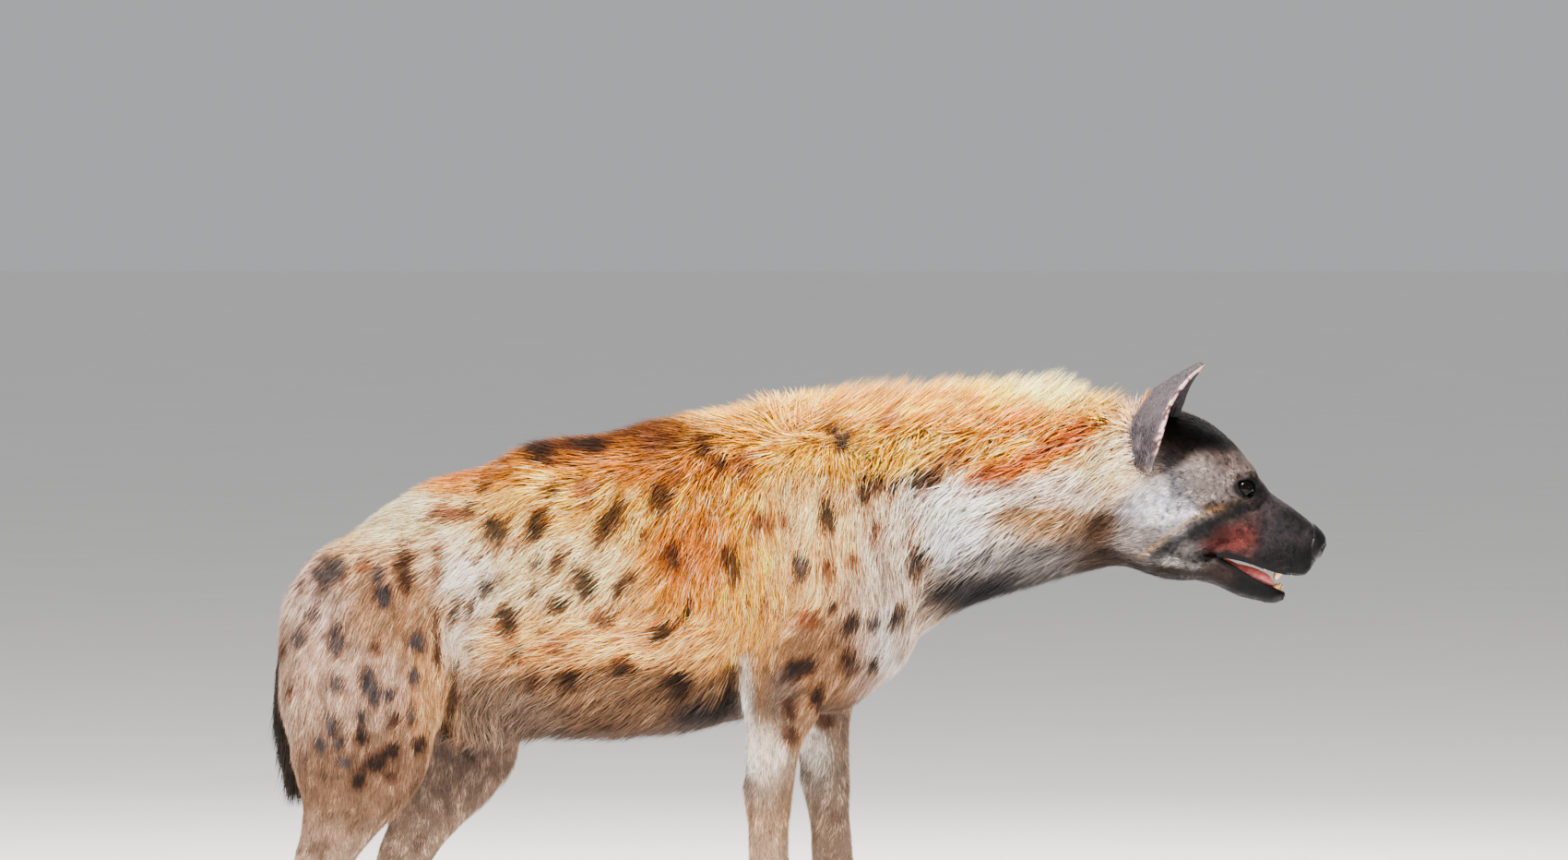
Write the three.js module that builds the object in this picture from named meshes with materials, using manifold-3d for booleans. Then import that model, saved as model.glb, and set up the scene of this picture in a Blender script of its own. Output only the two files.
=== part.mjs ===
// A spotted hyena in life size, standing with its neck stretched forward and its mouth a little open.
// Millimetres. +X runs from the rump to the nose, +Y to the animal's left, +Z up from the ground.
// The surfaces are those of the coat, so the skin lies a few millimetres further in.
import * as THREE from 'three';
import { mergeVertices } from 'three/addons/utils/BufferGeometryUtils.js';
import Module from 'manifold-3d';

const wasm = await Module();
wasm.setup();

// Driving dimensions
const GAP = 0.3; // between touching pieces
const NECK_START = 118; // where the neck leaves the trunk, along X
const HEAD_START = 372; // where the head leaves the neck, along X
const HEAD_ORIGIN = new THREE.Vector3(400, 0, 690); // middle of the head's own frame
const HEAD_PITCH = THREE.MathUtils.degToRad(28); // the muzzle points this far below level
const EYE = { along: 120, up: 55, side: 47, radius: 12.5, outward: 52, lift: 8 }; // angles in degrees
const EAR_THICKNESS = { root: 7, rim: 3.2 };
const PAW_HEIGHT = 74; // where the paw leaves the leg
const MANE = { from: -95, to: 366, step: 33, rowGap: 17, rows: 2, length: 82, width: 36, thick: 15 };
const BRUSH = { from: 452, to: 352, tiers: 4, around: 5, length: 82, width: 24, thick: 9 };

// How finely each form is faceted: rings along it, sides round it
const FACETS = {
  trunk: [27, 20],
  neck: [8, 20],
  head: [20, 20],
  jaw: [12, 10],
  leg: [13, 10],
  paw: [3, 10],
  toe: 7,
  claw: [2, 4],
  eye: 12,
  lid: [4, 10],
  ear: [8, 8],
  lip: [16, 3],
  tooth: [2, 5],
  hollow: 10,
  tongue: [5, 10],
  lock: [3, 4],
  tail: [10, 8],
};

// Trunk and neck, in upright sections: x, top, bottom, half width, height of the widest place
const TRUNK = [
  [-622, 560, 486, 18, 522],
  [-616, 584, 462, 46, 522],
  [-604, 602, 440, 72, 522],
  [-586, 618, 422, 94, 522],
  [-560, 637, 406, 111, 525],
  [-510, 673, 396, 126, 530],
  [-460, 697, 390, 137, 532],
  [-400, 713, 381, 149, 532],
  [-330, 741, 373, 159, 532],
  [-250, 751, 371, 164, 534],
  [-180, 768, 377, 161, 540],
  [-100, 781, 387, 151, 552],
  [-30, 787, 392, 139, 565],
  [30, 787, 398, 127, 580],
  [80, 786, 430, 116, 600],
  [110, 786, 458, 109, 622],
  [140, 788, 500, 103, 645],
  [193, 790, 531, 96, 662],
  [250, 792, 549, 92, 672],
  [307, 793, 565, 89, 680],
  [341, 792, 574, 88, 684],
  [372, 790, 582, 87, 688],
  [420, 780, 590, 84, 690],
];

// Skull, cheeks and upper jaw, in sections across the head's own axis: u, top, bottom, half width, widest
const HEAD = [
  [-45, 98, -90, 82, 8],
  [0, 106, -92, 87, 4],
  [28, 108, -88, 91, 0],
  [56, 106, -80, 91, 0],
  [79, 101, -69, 86, 4],
  [94, 96, -60, 78, 8],
  [110, 89, -50, 68, 12],
  [128, 79, -38, 57, 15],
  [140, 73, -31, 51, 15],
  [155, 66, -26, 46, 14],
  [183, 62, -18, 43, 12],
  [211, 57, -15, 41, 12],
  [228, 53, -9, 36, 15],
  [238, 48, 5, 28, 24],
  [244, 40, 22, 16, 30],
];

// Lower jaw: u, top, bottom, half width, widest
const JAW = [
  [20, -30, -94, 66, -62],
  [60, -34, -96, 67, -66],
  [85, -36, -92, 60, -66],
  [106, -35, -84, 53, -62],
  [125, -33, -75, 45, -56],
  [150, -33, -69, 38, -52],
  [175, -36, -67, 34, -52],
  [197, -37, -62, 31, -50],
  [212, -34, -57, 28, -46],
  [222, -33, -50, 21, -42],
  [227, -36, -44, 11, -40],
];

// Legs in level sections: z, x, y (away from the middle), half length, half width
const LEGS = {
  foreleg_right: [
    [610, 2, 88, 70, 34],
    [545, -6, 96, 82, 42],
    [485, -20, 101, 76, 44],
    [430, -32, 101, 61, 41],
    [390, -42, 99, 49, 37],
    [350, -50, 96, 39, 33],
    [300, -53, 94, 32, 29],
    [250, -53, 92, 28, 27],
    [212, -52, 91, 29, 28],
    [185, -50, 91, 31, 30],
    [150, -47, 90, 26, 27],
    [110, -44, 90, 24, 26],
    [PAW_HEIGHT, -40, 90, 27, 29],
  ],
  foreleg_left: [
    [610, 10, 88, 70, 34],
    [545, 8, 96, 82, 42],
    [485, 4, 101, 74, 44],
    [430, 5, 101, 60, 41],
    [390, 9, 99, 48, 37],
    [350, 14, 96, 39, 33],
    [300, 19, 94, 32, 29],
    [250, 24, 92, 28, 27],
    [212, 27, 91, 29, 28],
    [185, 30, 91, 31, 30],
    [150, 34, 90, 26, 27],
    [110, 39, 90, 24, 26],
    [PAW_HEIGHT, 45, 90, 27, 29],
  ],
  hindleg_right: [
    [592, -530, 66, 48, 30],
    [560, -541, 76, 90, 48],
    [500, -551, 84, 107, 56],
    [440, -552, 90, 107, 57],
    [385, -551, 93, 98, 52],
    [340, -552, 94, 85, 45],
    [300, -561, 94, 68, 38],
    [260, -580, 92, 50, 31],
    [225, -598, 91, 40, 27],
    [198, -605, 90, 34, 26],
    [160, -603, 90, 26, 23],
    [110, -599, 90, 23, 23],
    [PAW_HEIGHT, -593, 90, 27, 28],
  ],
  hindleg_left: [
    [592, -526, 66, 48, 30],
    [560, -522, 76, 94, 48],
    [500, -505, 84, 110, 56],
    [440, -474, 90, 107, 57],
    [385, -447, 93, 95, 52],
    [340, -444, 94, 82, 45],
    [300, -458, 94, 66, 38],
    [260, -481, 92, 49, 31],
    [225, -502, 91, 40, 27],
    [198, -511, 90, 34, 26],
    [160, -507, 90, 26, 23],
    [110, -500, 90, 23, 23],
    [PAW_HEIGHT, -491, 90, 27, 28],
  ],
};

// The foot below each leg: how far it reaches ahead of the leg, and its half width
const FEET = {
  fore: { reach: 62, heel: 36, halfWidth: 38, toe: 15.5, legs: ['foreleg_right', 'foreleg_left'] },
  hind: { reach: 58, heel: 32, halfWidth: 34, toe: 14, legs: ['hindleg_right', 'hindleg_left'] },
};

// Toes from the outer to the inner one: share of the half width across, and how far behind the longest
const TOES = [[0.74, 17], [0.27, 2], [-0.27, 0], [-0.74, 14]];

// Muscle masses on the trunk: middle and half lengths, mirrored left and right
const MASSES = {
  shoulder: { at: [2, 86, 606], half: [98, 46, 142] },
  haunch: { at: [-545, 68, 536], half: [104, 56, 92] },
};

// The same on the head, in its own frame
const HEAD_MASSES = {
  brow: { at: [104, 36, 66], half: [30, 22, 22] },
  whiskerPad: { at: [206, 27, 4], half: [34, 18, 20] },
};

// Tail: x, z and radius from its root down to the end of the bone
const TAIL = [
  [-578, 592, 20],
  [-606, 576, 21],
  [-629, 545, 19],
  [-640, 500, 17],
  [-643, 445, 15],
  [-641, 395, 13],
  [-637, 345, 9],
];

// Ear lines from root to tip, for the left ear: the back of the cup and its two margins
const EAR = {
  back: [[388, 62, 722], [396, 72, 764], [421, 80, 800], [452, 84, 822], [475, 86, 836]],
  outer: [[416, 91, 702], [429, 110, 748], [440, 120, 786], [459, 119, 815], [478, 108, 832]],
  inner: [[446, 36, 756], [456, 34, 783], [464, 38, 806], [473, 50, 824], [483, 64, 834]],
};

// Materials
const coatColour = (colour) =>
  new THREE.MeshStandardMaterial({ color: colour, roughness: 0.9, metalness: 0 });
const MATERIALS = {
  coat: coatColour(0xc79a63),
  neckCoat: coatColour(0xd2a062),
  face: coatColour(0x5d544c),
  leg: coatColour(0xa58a6c),
  ear: coatColour(0x54494a),
  tail: coatColour(0x3a2c22),
  gum: new THREE.MeshStandardMaterial({ color: 0xd9707a, roughness: 0.4, metalness: 0 }),
  nose: new THREE.MeshStandardMaterial({ color: 0x17161a, roughness: 0.45, metalness: 0 }),
  eye: new THREE.MeshStandardMaterial({ color: 0x1b100a, roughness: 0.08, metalness: 0 }),
};

// A random draw that is the same every time
let seed = 7;
function random() {
  seed = (seed * 1664525 + 1013904223) % 4294967296;
  return seed / 4294967296;
}
const vary = (value, share) => value * (1 + share * (2 * random() - 1));

// The value of a table's column at a place along its first column, through its rows without overshoot
function smooth(table, column, at) {
  const down = table[0][0] > table[table.length - 1][0];
  const rows = down ? [...table].reverse() : table;
  const last = rows.length - 1;
  if (at <= rows[0][0]) return rows[0][column];
  if (at >= rows[last][0]) return rows[last][column];
  const i = rows.findIndex((row, n) => n < last && at < rows[n + 1][0]);
  const slope = (n) => (rows[n + 1][column] - rows[n][column]) / (rows[n + 1][0] - rows[n][0]);
  const tangent = (n) => {
    if (n === 0) return slope(0);
    if (n === last) return slope(last - 1);
    const [a, b] = [slope(n - 1), slope(n)];
    return a * b <= 0 ? 0 : (2 * a * b) / (a + b);
  };
  const h = rows[i + 1][0] - rows[i][0];
  const t = (at - rows[i][0]) / h;
  const [y0, y1, m0, m1] = [rows[i][column], rows[i + 1][column], tangent(i) * h, tangent(i + 1) * h];
  const [t2, t3] = [t * t, t * t * t];
  return (2 * t3 - 3 * t2 + 1) * y0 + (t3 - 2 * t2 + t) * m0 + (3 * t2 - 2 * t3) * y1 + (t3 - t2) * m1;
}

// Signed distances, negative inside

// Distance from an oval section that is centred at its widest place
function ovalDistance(side, rise, halfWidth, up, down, power) {
  const half = rise > 0 ? up : down;
  const size = Math.pow(Math.abs(side) / halfWidth, power) + Math.pow(Math.abs(rise) / half, power);
  const ratio = Math.max(Math.pow(size, 1 / power), 1e-6);
  return Math.max(Math.hypot(side, rise), 1e-3) * (1 - 1 / ratio);
}

// Distance from a form that a table gives in sections: position along it, sideways and upwards
function sectionDistance(table, along, side, rise, power) {
  const widest = smooth(table, 4, along);
  const up = smooth(table, 1, along) - widest;
  const down = widest - smooth(table, 2, along);
  const section = ovalDistance(side, rise - widest, smooth(table, 3, along), up, down, power);
  const beyond = Math.max(table[0][0] - along, along - table[table.length - 1][0]);
  return Math.max(section, beyond);
}

// Distance from an ellipsoid and its mirror image across the middle plane
function ellipsoidDistance(point, at, half) {
  const p = [point.x - at[0], Math.abs(point.y) - at[1], point.z - at[2]];
  const k0 = Math.hypot(p[0] / half[0], p[1] / half[1], p[2] / half[2]);
  const k1 = Math.hypot(p[0] / half[0] ** 2, p[1] / half[1] ** 2, p[2] / half[2] ** 2);
  return k1 < 1e-9 ? -Math.min(...half) : (k0 * (k0 - 1)) / k1;
}

// The lower of two distances, rounded where they meet
function blend(a, b, width) {
  const h = Math.max(width - Math.abs(a - b), 0) / width;
  return Math.min(a, b) - (h * h * width) / 4;
}

// A point in the head's own frame: u along the muzzle, v up from it, y to the left
function toHead(point) {
  const [dx, dz] = [point.x - HEAD_ORIGIN.x, point.z - HEAD_ORIGIN.z];
  const [c, s] = [Math.cos(HEAD_PITCH), Math.sin(HEAD_PITCH)];
  return { u: dx * c - dz * s, v: dx * s + dz * c, y: point.y };
}

function fromHead(u, v, y) {
  const [c, s] = [Math.cos(HEAD_PITCH), Math.sin(HEAD_PITCH)];
  return new THREE.Vector3(HEAD_ORIGIN.x + u * c + v * s, y, HEAD_ORIGIN.z - u * s + v * c);
}

function headDistance(point) {
  const { u, v, y } = toHead(point);
  const mass = ({ at, half }) => ellipsoidDistance({ x: u, y, z: v }, at, half);
  const skull = sectionDistance(HEAD, u, y, v, 2.2);
  return blend(blend(skull, mass(HEAD_MASSES.brow), 14), mass(HEAD_MASSES.whiskerPad), 10);
}

function trunkDistance(point) {
  let d = sectionDistance(TRUNK, point.x, point.y, point.z, 2.05);
  for (const { at, half } of Object.values(MASSES)) d = blend(d, ellipsoidDistance(point, at, half), 34);
  return d;
}

const bodyDistance = (point) => blend(trunkDistance(point), headDistance(point), 26);

// How far from a centre the surface lies in a direction, from the outside in
function reachOf(distance, centre, direction, most) {
  const at = (r) => distance(centre.clone().addScaledVector(direction, r));
  let [inside, outside] = [0, most];
  for (let r = most; r > 0; r -= 3) {
    if (at(r) < 0) {
      inside = r;
      break;
    }
    outside = r;
  }
  for (let n = 0; n < 14; n += 1) {
    const middle = (inside + outside) / 2;
    if (at(middle) < 0) inside = middle;
    else outside = middle;
  }
  return inside;
}

// Closed solids

function solidFrom(geometry) {
  const bare = geometry.clone();
  for (const name of Object.keys(bare.attributes)) if (name !== 'position') bare.deleteAttribute(name);
  const merged = mergeVertices(bare, 1e-3);
  const index = merged.index.array;
  const kept = [];
  for (let i = 0; i < index.length; i += 3) {
    const [a, b, c] = [index[i], index[i + 1], index[i + 2]];
    if (a !== b && b !== c && a !== c) kept.push(a, b, c);
  }
  const vertProperties = Float32Array.from(merged.getAttribute('position').array);
  const made = (order) =>
    new wasm.Manifold(new wasm.Mesh({ numProp: 3, vertProperties, triVerts: Uint32Array.from(order) }));
  const solid = made(kept);
  if (solid.volume() > 0) return solid;
  return made(kept.map((_, i) => kept[i - (i % 3) + [0, 2, 1][i % 3]]));
}

// A closed tube. place(share, angle, radius) gives a point: share runs from 0 to 1 along it, radius is 0 or 1
function sweep(rows, sides, place) {
  const geometry = new THREE.CylinderGeometry(1, 1, 1, sides, rows);
  const position = geometry.getAttribute('position');
  for (let i = 0; i < position.count; i += 1) {
    const [x, y, z] = [position.getX(i), position.getY(i), position.getZ(i)];
    const point = place(0.5 - y, Math.atan2(x, z), Math.min(1, Math.round(Math.hypot(x, z))));
    position.setXYZ(i, point.x, point.y, point.z);
  }
  return solidFrom(geometry);
}

// A tube whose rings are cast onto a surface. ring(share) gives a ring's middle and how far it leans forward
function cast(rows, sides, most, distance, ring) {
  return sweep(rows, sides, (share, angle, radius) => {
    const { middle, lean } = ring(share);
    const up = new THREE.Vector3(Math.sin(lean), 0, Math.cos(lean));
    const direction = up.multiplyScalar(Math.cos(angle)).addScaledVector(Y_AXIS, Math.sin(angle));
    return middle.clone().addScaledVector(direction, radius ? reachOf(distance, middle, direction, most) : 0);
  });
}
const Y_AXIS = new THREE.Vector3(0, 1, 0);

function union(solids) {
  return solids.reduce((sum, next) => sum.add(next));
}

function largest(solid) {
  return solid.decompose().reduce((best, next) => (next.volume() > best.volume() ? next : best));
}

function boxSolid(low, high) {
  const geometry = new THREE.BoxGeometry(high[0] - low[0], high[1] - low[1], high[2] - low[2]);
  geometry.translate((low[0] + high[0]) / 2, (low[1] + high[1]) / 2, (low[2] + high[2]) / 2);
  return solidFrom(geometry);
}

// A slab along Y with a smooth outline of [x, z] points
function prism(outline, low, high, grow, steps = 0) {
  const mean = (n) => outline.reduce((sum, point) => sum + point[n] / outline.length, 0);
  const middle = [mean(0), mean(1)];
  const points = outline.map(([x, z]) => {
    const [dx, dz] = [x - middle[0], z - middle[1]];
    const far = 1 + (1.6 * grow) / Math.hypot(dx, dz);
    return new THREE.Vector2(middle[0] + dx * far, middle[1] + dz * far);
  });
  const shape = new THREE.Shape(steps ? new THREE.SplineCurve(points).getPoints(steps) : points);
  const geometry = new THREE.ExtrudeGeometry(shape, { depth: high - low, bevelEnabled: false });
  geometry.rotateX(Math.PI / 2);
  geometry.translate(0, high, 0);
  return solidFrom(geometry);
}

// A flat, tapered and bent lock. It starts inside the form and ends at a point
function lock(root, heading, bend, flat, length, width, thick) {
  const sunk = 0.3 * length;
  const side = flat.clone().addScaledVector(heading, -flat.dot(heading)).normalize();
  const out = heading.clone().cross(side).normalize();
  return sweep(...FACETS.lock, (share, angle, radius) => {
    const along = share * length - sunk;
    const curve = bend.clone().multiplyScalar(share * share * length);
    const fullness = radius * Math.sqrt(Math.max(0, 1 - share ** 1.6)) * (0.75 + 0.6 * share * (1 - share));
    return root
      .clone()
      .addScaledVector(heading, along)
      .add(curve)
      .addScaledVector(side, (Math.sin(angle) * fullness * width) / 2)
      .addScaledVector(out, (Math.cos(angle) * fullness * thick) / 2);
  });
}

// Trunk, neck and head

const TRUNK_MIDDLE = [[-622, 522], [-560, 540], [-300, 555], [0, 585], [118, 640], [250, 675], [372, 688]];
const trunkRing = (x) => ({ middle: new THREE.Vector3(x, 0, smooth(TRUNK_MIDDLE, 1, x)), lean: 0 });
const spread = (from, to) => (share) => trunkRing(from + (to - from) * share);

// Rings crowd together towards the round rump
function torsoRing(share) {
  const from = TRUNK[0][0];
  const eased = share - 0.12 * Math.sin(2 * Math.PI * share) * (share < 0.5 ? 1 : 0.2);
  return trunkRing(from + (NECK_START - from) * eased);
}

// The head's rings turn from upright at the neck to square across the muzzle
const HEAD_MIDDLE = { level: 60, tip: 243.5 };
function headRing(share) {
  const turned = 0.34;
  const start = new THREE.Vector3(HEAD_START + GAP, 0, 688);
  const square = fromHead(HEAD_MIDDLE.level, 8, 0);
  if (share < turned) {
    const t = share / turned;
    return { middle: start.clone().lerp(square, t), lean: HEAD_PITCH * t };
  }
  const t = (share - turned) / (1 - turned);
  const u = HEAD_MIDDLE.level + (HEAD_MIDDLE.tip - HEAD_MIDDLE.level) * (1 - (1 - t) ** 1.35);
  const middle = (smooth(HEAD, 1, u) + smooth(HEAD, 2, u)) / 2;
  return { middle: fromHead(u, middle, 0), lean: HEAD_PITCH };
}

function maneLocks(from, to) {
  const locks = [];
  for (let x = from; x < to; x += MANE.step) {
    const share = (x - MANE.from) / (MANE.to - MANE.from);
    const atWithers = THREE.MathUtils.smoothstep(share, -0.45, 0.5);
    const grown = atWithers * (1 - 0.28 * THREE.MathUtils.smoothstep(share, 0.9, 1));
    for (let row = -MANE.rows; row <= MANE.rows; row += 1) {
      const { middle } = trunkRing(x + (row % 2 ? MANE.step / 2 : 0) + 5 * random());
      const height = smooth(TRUNK, 1, middle.x) - middle.z;
      const direction = new THREE.Vector3(0, (row * MANE.rowGap) / height, 1).normalize();
      const root = middle.clone().addScaledVector(direction, reachOf(bodyDistance, middle, direction, 300));
      const forward = 0.6 + 0.2 * random();
      const heading = new THREE.Vector3(forward, 0.2 * row, 1 - 0.13 * Math.abs(row)).normalize();
      const bend = new THREE.Vector3(0.1, 0.02 * row, -0.07 - 0.03 * Math.abs(row));
      const length = vary(MANE.length * (1 - 0.1 * Math.abs(row)), 0.12) * grown;
      const flat = new THREE.Vector3(1, 2.2 * (random() - 0.5), 0);
      locks.push(lock(root, heading, bend, flat, length, MANE.width, MANE.thick));
    }
  }
  return locks;
}

// Legs and feet

function legSolid(name, side) {
  const table = LEGS[name];
  const [top, bottom] = [table[0][0], PAW_HEIGHT - 12];
  return sweep(...FACETS.leg, (share, angle, radius) => {
    const z = top + (bottom - top) * share;
    const at = (column) => smooth(table, column, z);
    const [c, s] = [Math.cos(angle), Math.sin(angle)];
    const [x, y] = [Math.sign(c) * Math.abs(c) ** 0.92, Math.sign(s) * Math.abs(s) ** 0.92];
    return new THREE.Vector3(at(1) + radius * at(3) * x, side * (at(2) + radius * at(4) * y), z);
  });
}

function ballSolid(at, half, sides, tilt) {
  const geometry = new THREE.SphereGeometry(1, sides, Math.round(sides * 0.7));
  geometry.rotateX(Math.PI / 2);
  geometry.scale(half[0], half[1], half[2]);
  geometry.rotateY(tilt);
  geometry.translate(at[0], at[1], at[2]);
  return solidFrom(geometry);
}

// A blunt curved claw that grows from the front of a toe
function clawSolid(front, size) {
  return sweep(...FACETS.claw, (share, angle, radius) => {
    const fullness = radius * size * 0.34 * Math.sqrt(Math.max(0, 1 - share ** 1.8));
    const [across, rise] = [fullness * Math.sin(angle), fullness * Math.cos(angle)];
    const x = front[0] - 7 + size * 1.75 * share + 0.3 * rise;
    const z = front[2] + 2 - size * 0.95 * share * share + rise;
    return new THREE.Vector3(x, front[1] + across, z);
  });
}

// Four toes on a broad foot, flat where it meets the ground
function pawSolid(name, side, foot) {
  const table = LEGS[name];
  const [x, y] = [smooth(table, 1, PAW_HEIGHT), side * smooth(table, 2, PAW_HEIGHT)];
  const [halfLength, halfWidth] = [smooth(table, 3, PAW_HEIGHT), smooth(table, 4, PAW_HEIGHT)];
  const core = sweep(...FACETS.paw, (share, angle, radius) => {
    const z = PAW_HEIGHT + 12 - (PAW_HEIGHT + 20) * share;
    const low = THREE.MathUtils.smoothstep(1 - z / PAW_HEIGHT, 0, 0.8);
    const front = halfLength + (foot.reach - halfLength - foot.toe) * low;
    const back = halfLength + (foot.heel - halfLength) * low;
    const wide = halfWidth + (foot.halfWidth - 5 - halfWidth) * low;
    const rounded = radius * (z < 12 ? 1 - 0.18 * (1 - z / 12) : 1);
    const [c, s] = [Math.cos(angle), Math.sin(angle)];
    return new THREE.Vector3(x + rounded * (c > 0 ? front : back) * c, y + rounded * wide * s, z);
  });
  const pieces = [core];
  for (const [across, back] of TOES) {
    const toe = [x + foot.reach - back, y + side * across * foot.halfWidth, foot.toe + 1];
    pieces.push(ballSolid(toe, [foot.toe * 1.65, foot.halfWidth * 0.31, foot.toe + 3], FACETS.toe, 0.16));
    pieces.push(clawSolid([toe[0] + foot.toe * 1.25, toe[1], toe[2]], foot.toe * 0.95));
  }
  const ground = boxSolid([-1000, -400, 0], [1000, 400, PAW_HEIGHT - GAP]);
  return largest(union(pieces).intersect(ground));
}

// Head details

// One of the lips, from the right corner of the mouth round the front to the left one
function lipCurve(half) {
  const [right, left] = [-1, 1].map((side) => half.map(([u, y, v]) => fromHead(u, v, side * y)));
  return new THREE.CatmullRomCurve3([...right, ...left.slice(0, -1).reverse()]);
}

function tubeSolid(curve, radius, steps, sides) {
  const outline = new THREE.Shape().absarc(0, 0, radius, 0, 2 * Math.PI);
  const geometry = new THREE.ExtrudeGeometry(outline, { extrudePath: curve, steps, curveSegments: sides });
  return solidFrom(geometry);
}

const eyePlace = (side) => {
  const { along, up, side: across, outward, lift } = EYE;
  const turn = THREE.MathUtils.degToRad(outward);
  const tilt = THREE.MathUtils.degToRad(lift);
  const [sideways, forward] = [Math.sin(turn) * Math.cos(tilt), Math.cos(turn) * Math.cos(tilt)];
  const look = fromHead(forward, Math.sin(tilt), side * sideways).sub(HEAD_ORIGIN);
  return { centre: fromHead(along, up, side * across), look };
};

const eyeSolid = (side, radius) => {
  const { centre } = eyePlace(side);
  return ballSolid([centre.x, centre.y, centre.z], [radius, radius, radius], FACETS.eye, 0);
};

// A ring of lid round the eye, longer than it is high
function lidSolid(side) {
  const { centre, look } = eyePlace(side);
  const geometry = new THREE.TorusGeometry(EYE.radius * 0.86, 3.6, ...FACETS.lid);
  geometry.scale(1.12, 0.8, 1);
  geometry.lookAt(look);
  const at = centre.clone().addScaledVector(look, EYE.radius * 0.52);
  geometry.translate(at.x, at.y, at.z);
  return solidFrom(geometry);
}

function nostrilSolid(side) {
  return sweep(6, 7, (share, angle, radius) => {
    const [u, v, y] = [248 - 20 * share, 33 + 3 * share, side * (10 + 16 * share)];
    const fullness = radius * (4.6 - 1.5 * share);
    const [across, rise] = [fullness * Math.sin(angle), fullness * Math.cos(angle)];
    return fromHead(u + 0.4 * rise, v + rise, y + across);
  });
}

// A tooth is a round cone that grows up or down from the jaw
function toothSolid(u, v, y, tall, wide, lean) {
  return sweep(...FACETS.tooth, (share, angle, radius) => {
    const fullness = radius * wide * Math.sqrt(Math.max(0, 1 - share ** 2.2));
    const [across, ahead] = [0.8 * fullness * Math.sin(angle), fullness * Math.cos(angle)];
    return fromHead(u + lean * share + ahead, v + tall * share, y + across);
  });
}

// Each pair of teeth: u, v of the root, distance from the middle, height, half width, lean
const UPPER_TEETH = [
  [208, -6, 25, -19, 5, 0],
  [188, -7, 28, -14, 5, 0],
  [172, -8, 31, -17, 7, 0],
  [152, -12, 35, -17, 8, 0],
];
const LOWER_TEETH = [
  [213, -42, 17, 23, 4.6, 3],
  [197, -44, 21, 15, 5, 0],
  [181, -44, 24, 17, 6.5, 0],
  [163, -44, 27, 17, 7.5, 0],
];

function teeth(pairs) {
  const pair = ([u, v, y, ...size]) => [toothSolid(u, v, y, ...size), toothSolid(u, v, -y, ...size)];
  return pairs.flatMap(pair);
}


// Tongue: u, middle height, half width, half thickness
const TONGUE = [
  [140, -40, 4, 6.3],
  [150, -39, 15, 6.3],
  [180, -36.5, 16, 5.6],
  [200, -35, 14.5, 4.9],
  [209, -35.5, 8, 2.8],
];

// The hollows of the open mouth: middle and half lengths
const MOUTH = {
  roof: { u: 178, v: -22, half: [58, 27, 17] },
  bed: { u: 176, v: -32, half: [50, 20, 16] },
};

// From the corner of the mouth to the middle of the lip: u, y, v
const LIPS = {
  upper: [[131, 50, -33], [160, 41, -23], [205, 37, -15], [236, 0, 0]],
  lower: [[133, 42, -37], [160, 33, -37], [200, 25, -39], [222, 0, -36]],
  upperRadius: 4.2,
  lowerRadius: 3.4,
};

// Where the lower jaw leaves the cheek: at the corner of the mouth, and behind it at the throat
const JAW_LINE = { corner: 128, cornerDown: -33, back: 88, backDown: -104 };

// The wedge in front of the line from the corner of the mouth to the throat
function jawRegion(grow) {
  const { corner, cornerDown, back, backDown } = JAW_LINE;
  const ahead = 300;
  const corners = [
    [corner - grow, cornerDown + 20],
    [corner - grow, cornerDown],
    [back - grow, backDown],
    [ahead, backDown - 60],
    [ahead, cornerDown + 20],
  ];
  const outline = corners.map(([u, v]) => {
    const p = fromHead(u, v, 0);
    return [p.x, p.z];
  });
  return prism(outline, -150, 150, 0);
}

function sectionSweep(table, rows, sides, from, to, grow) {
  return sweep(rows, sides, (share, angle, radius) => {
    const u = from + (to - from) * (1 - (1 - share) ** 1.25);
    const at = (column) => smooth(table, column, u);
    const c = Math.cos(angle);
    const half = (c > 0 ? at(1) - at(4) : at(4) - at(2)) + grow;
    return fromHead(u, at(4) + radius * half * c, radius * (at(3) + grow) * Math.sin(angle));
  });
}

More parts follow.
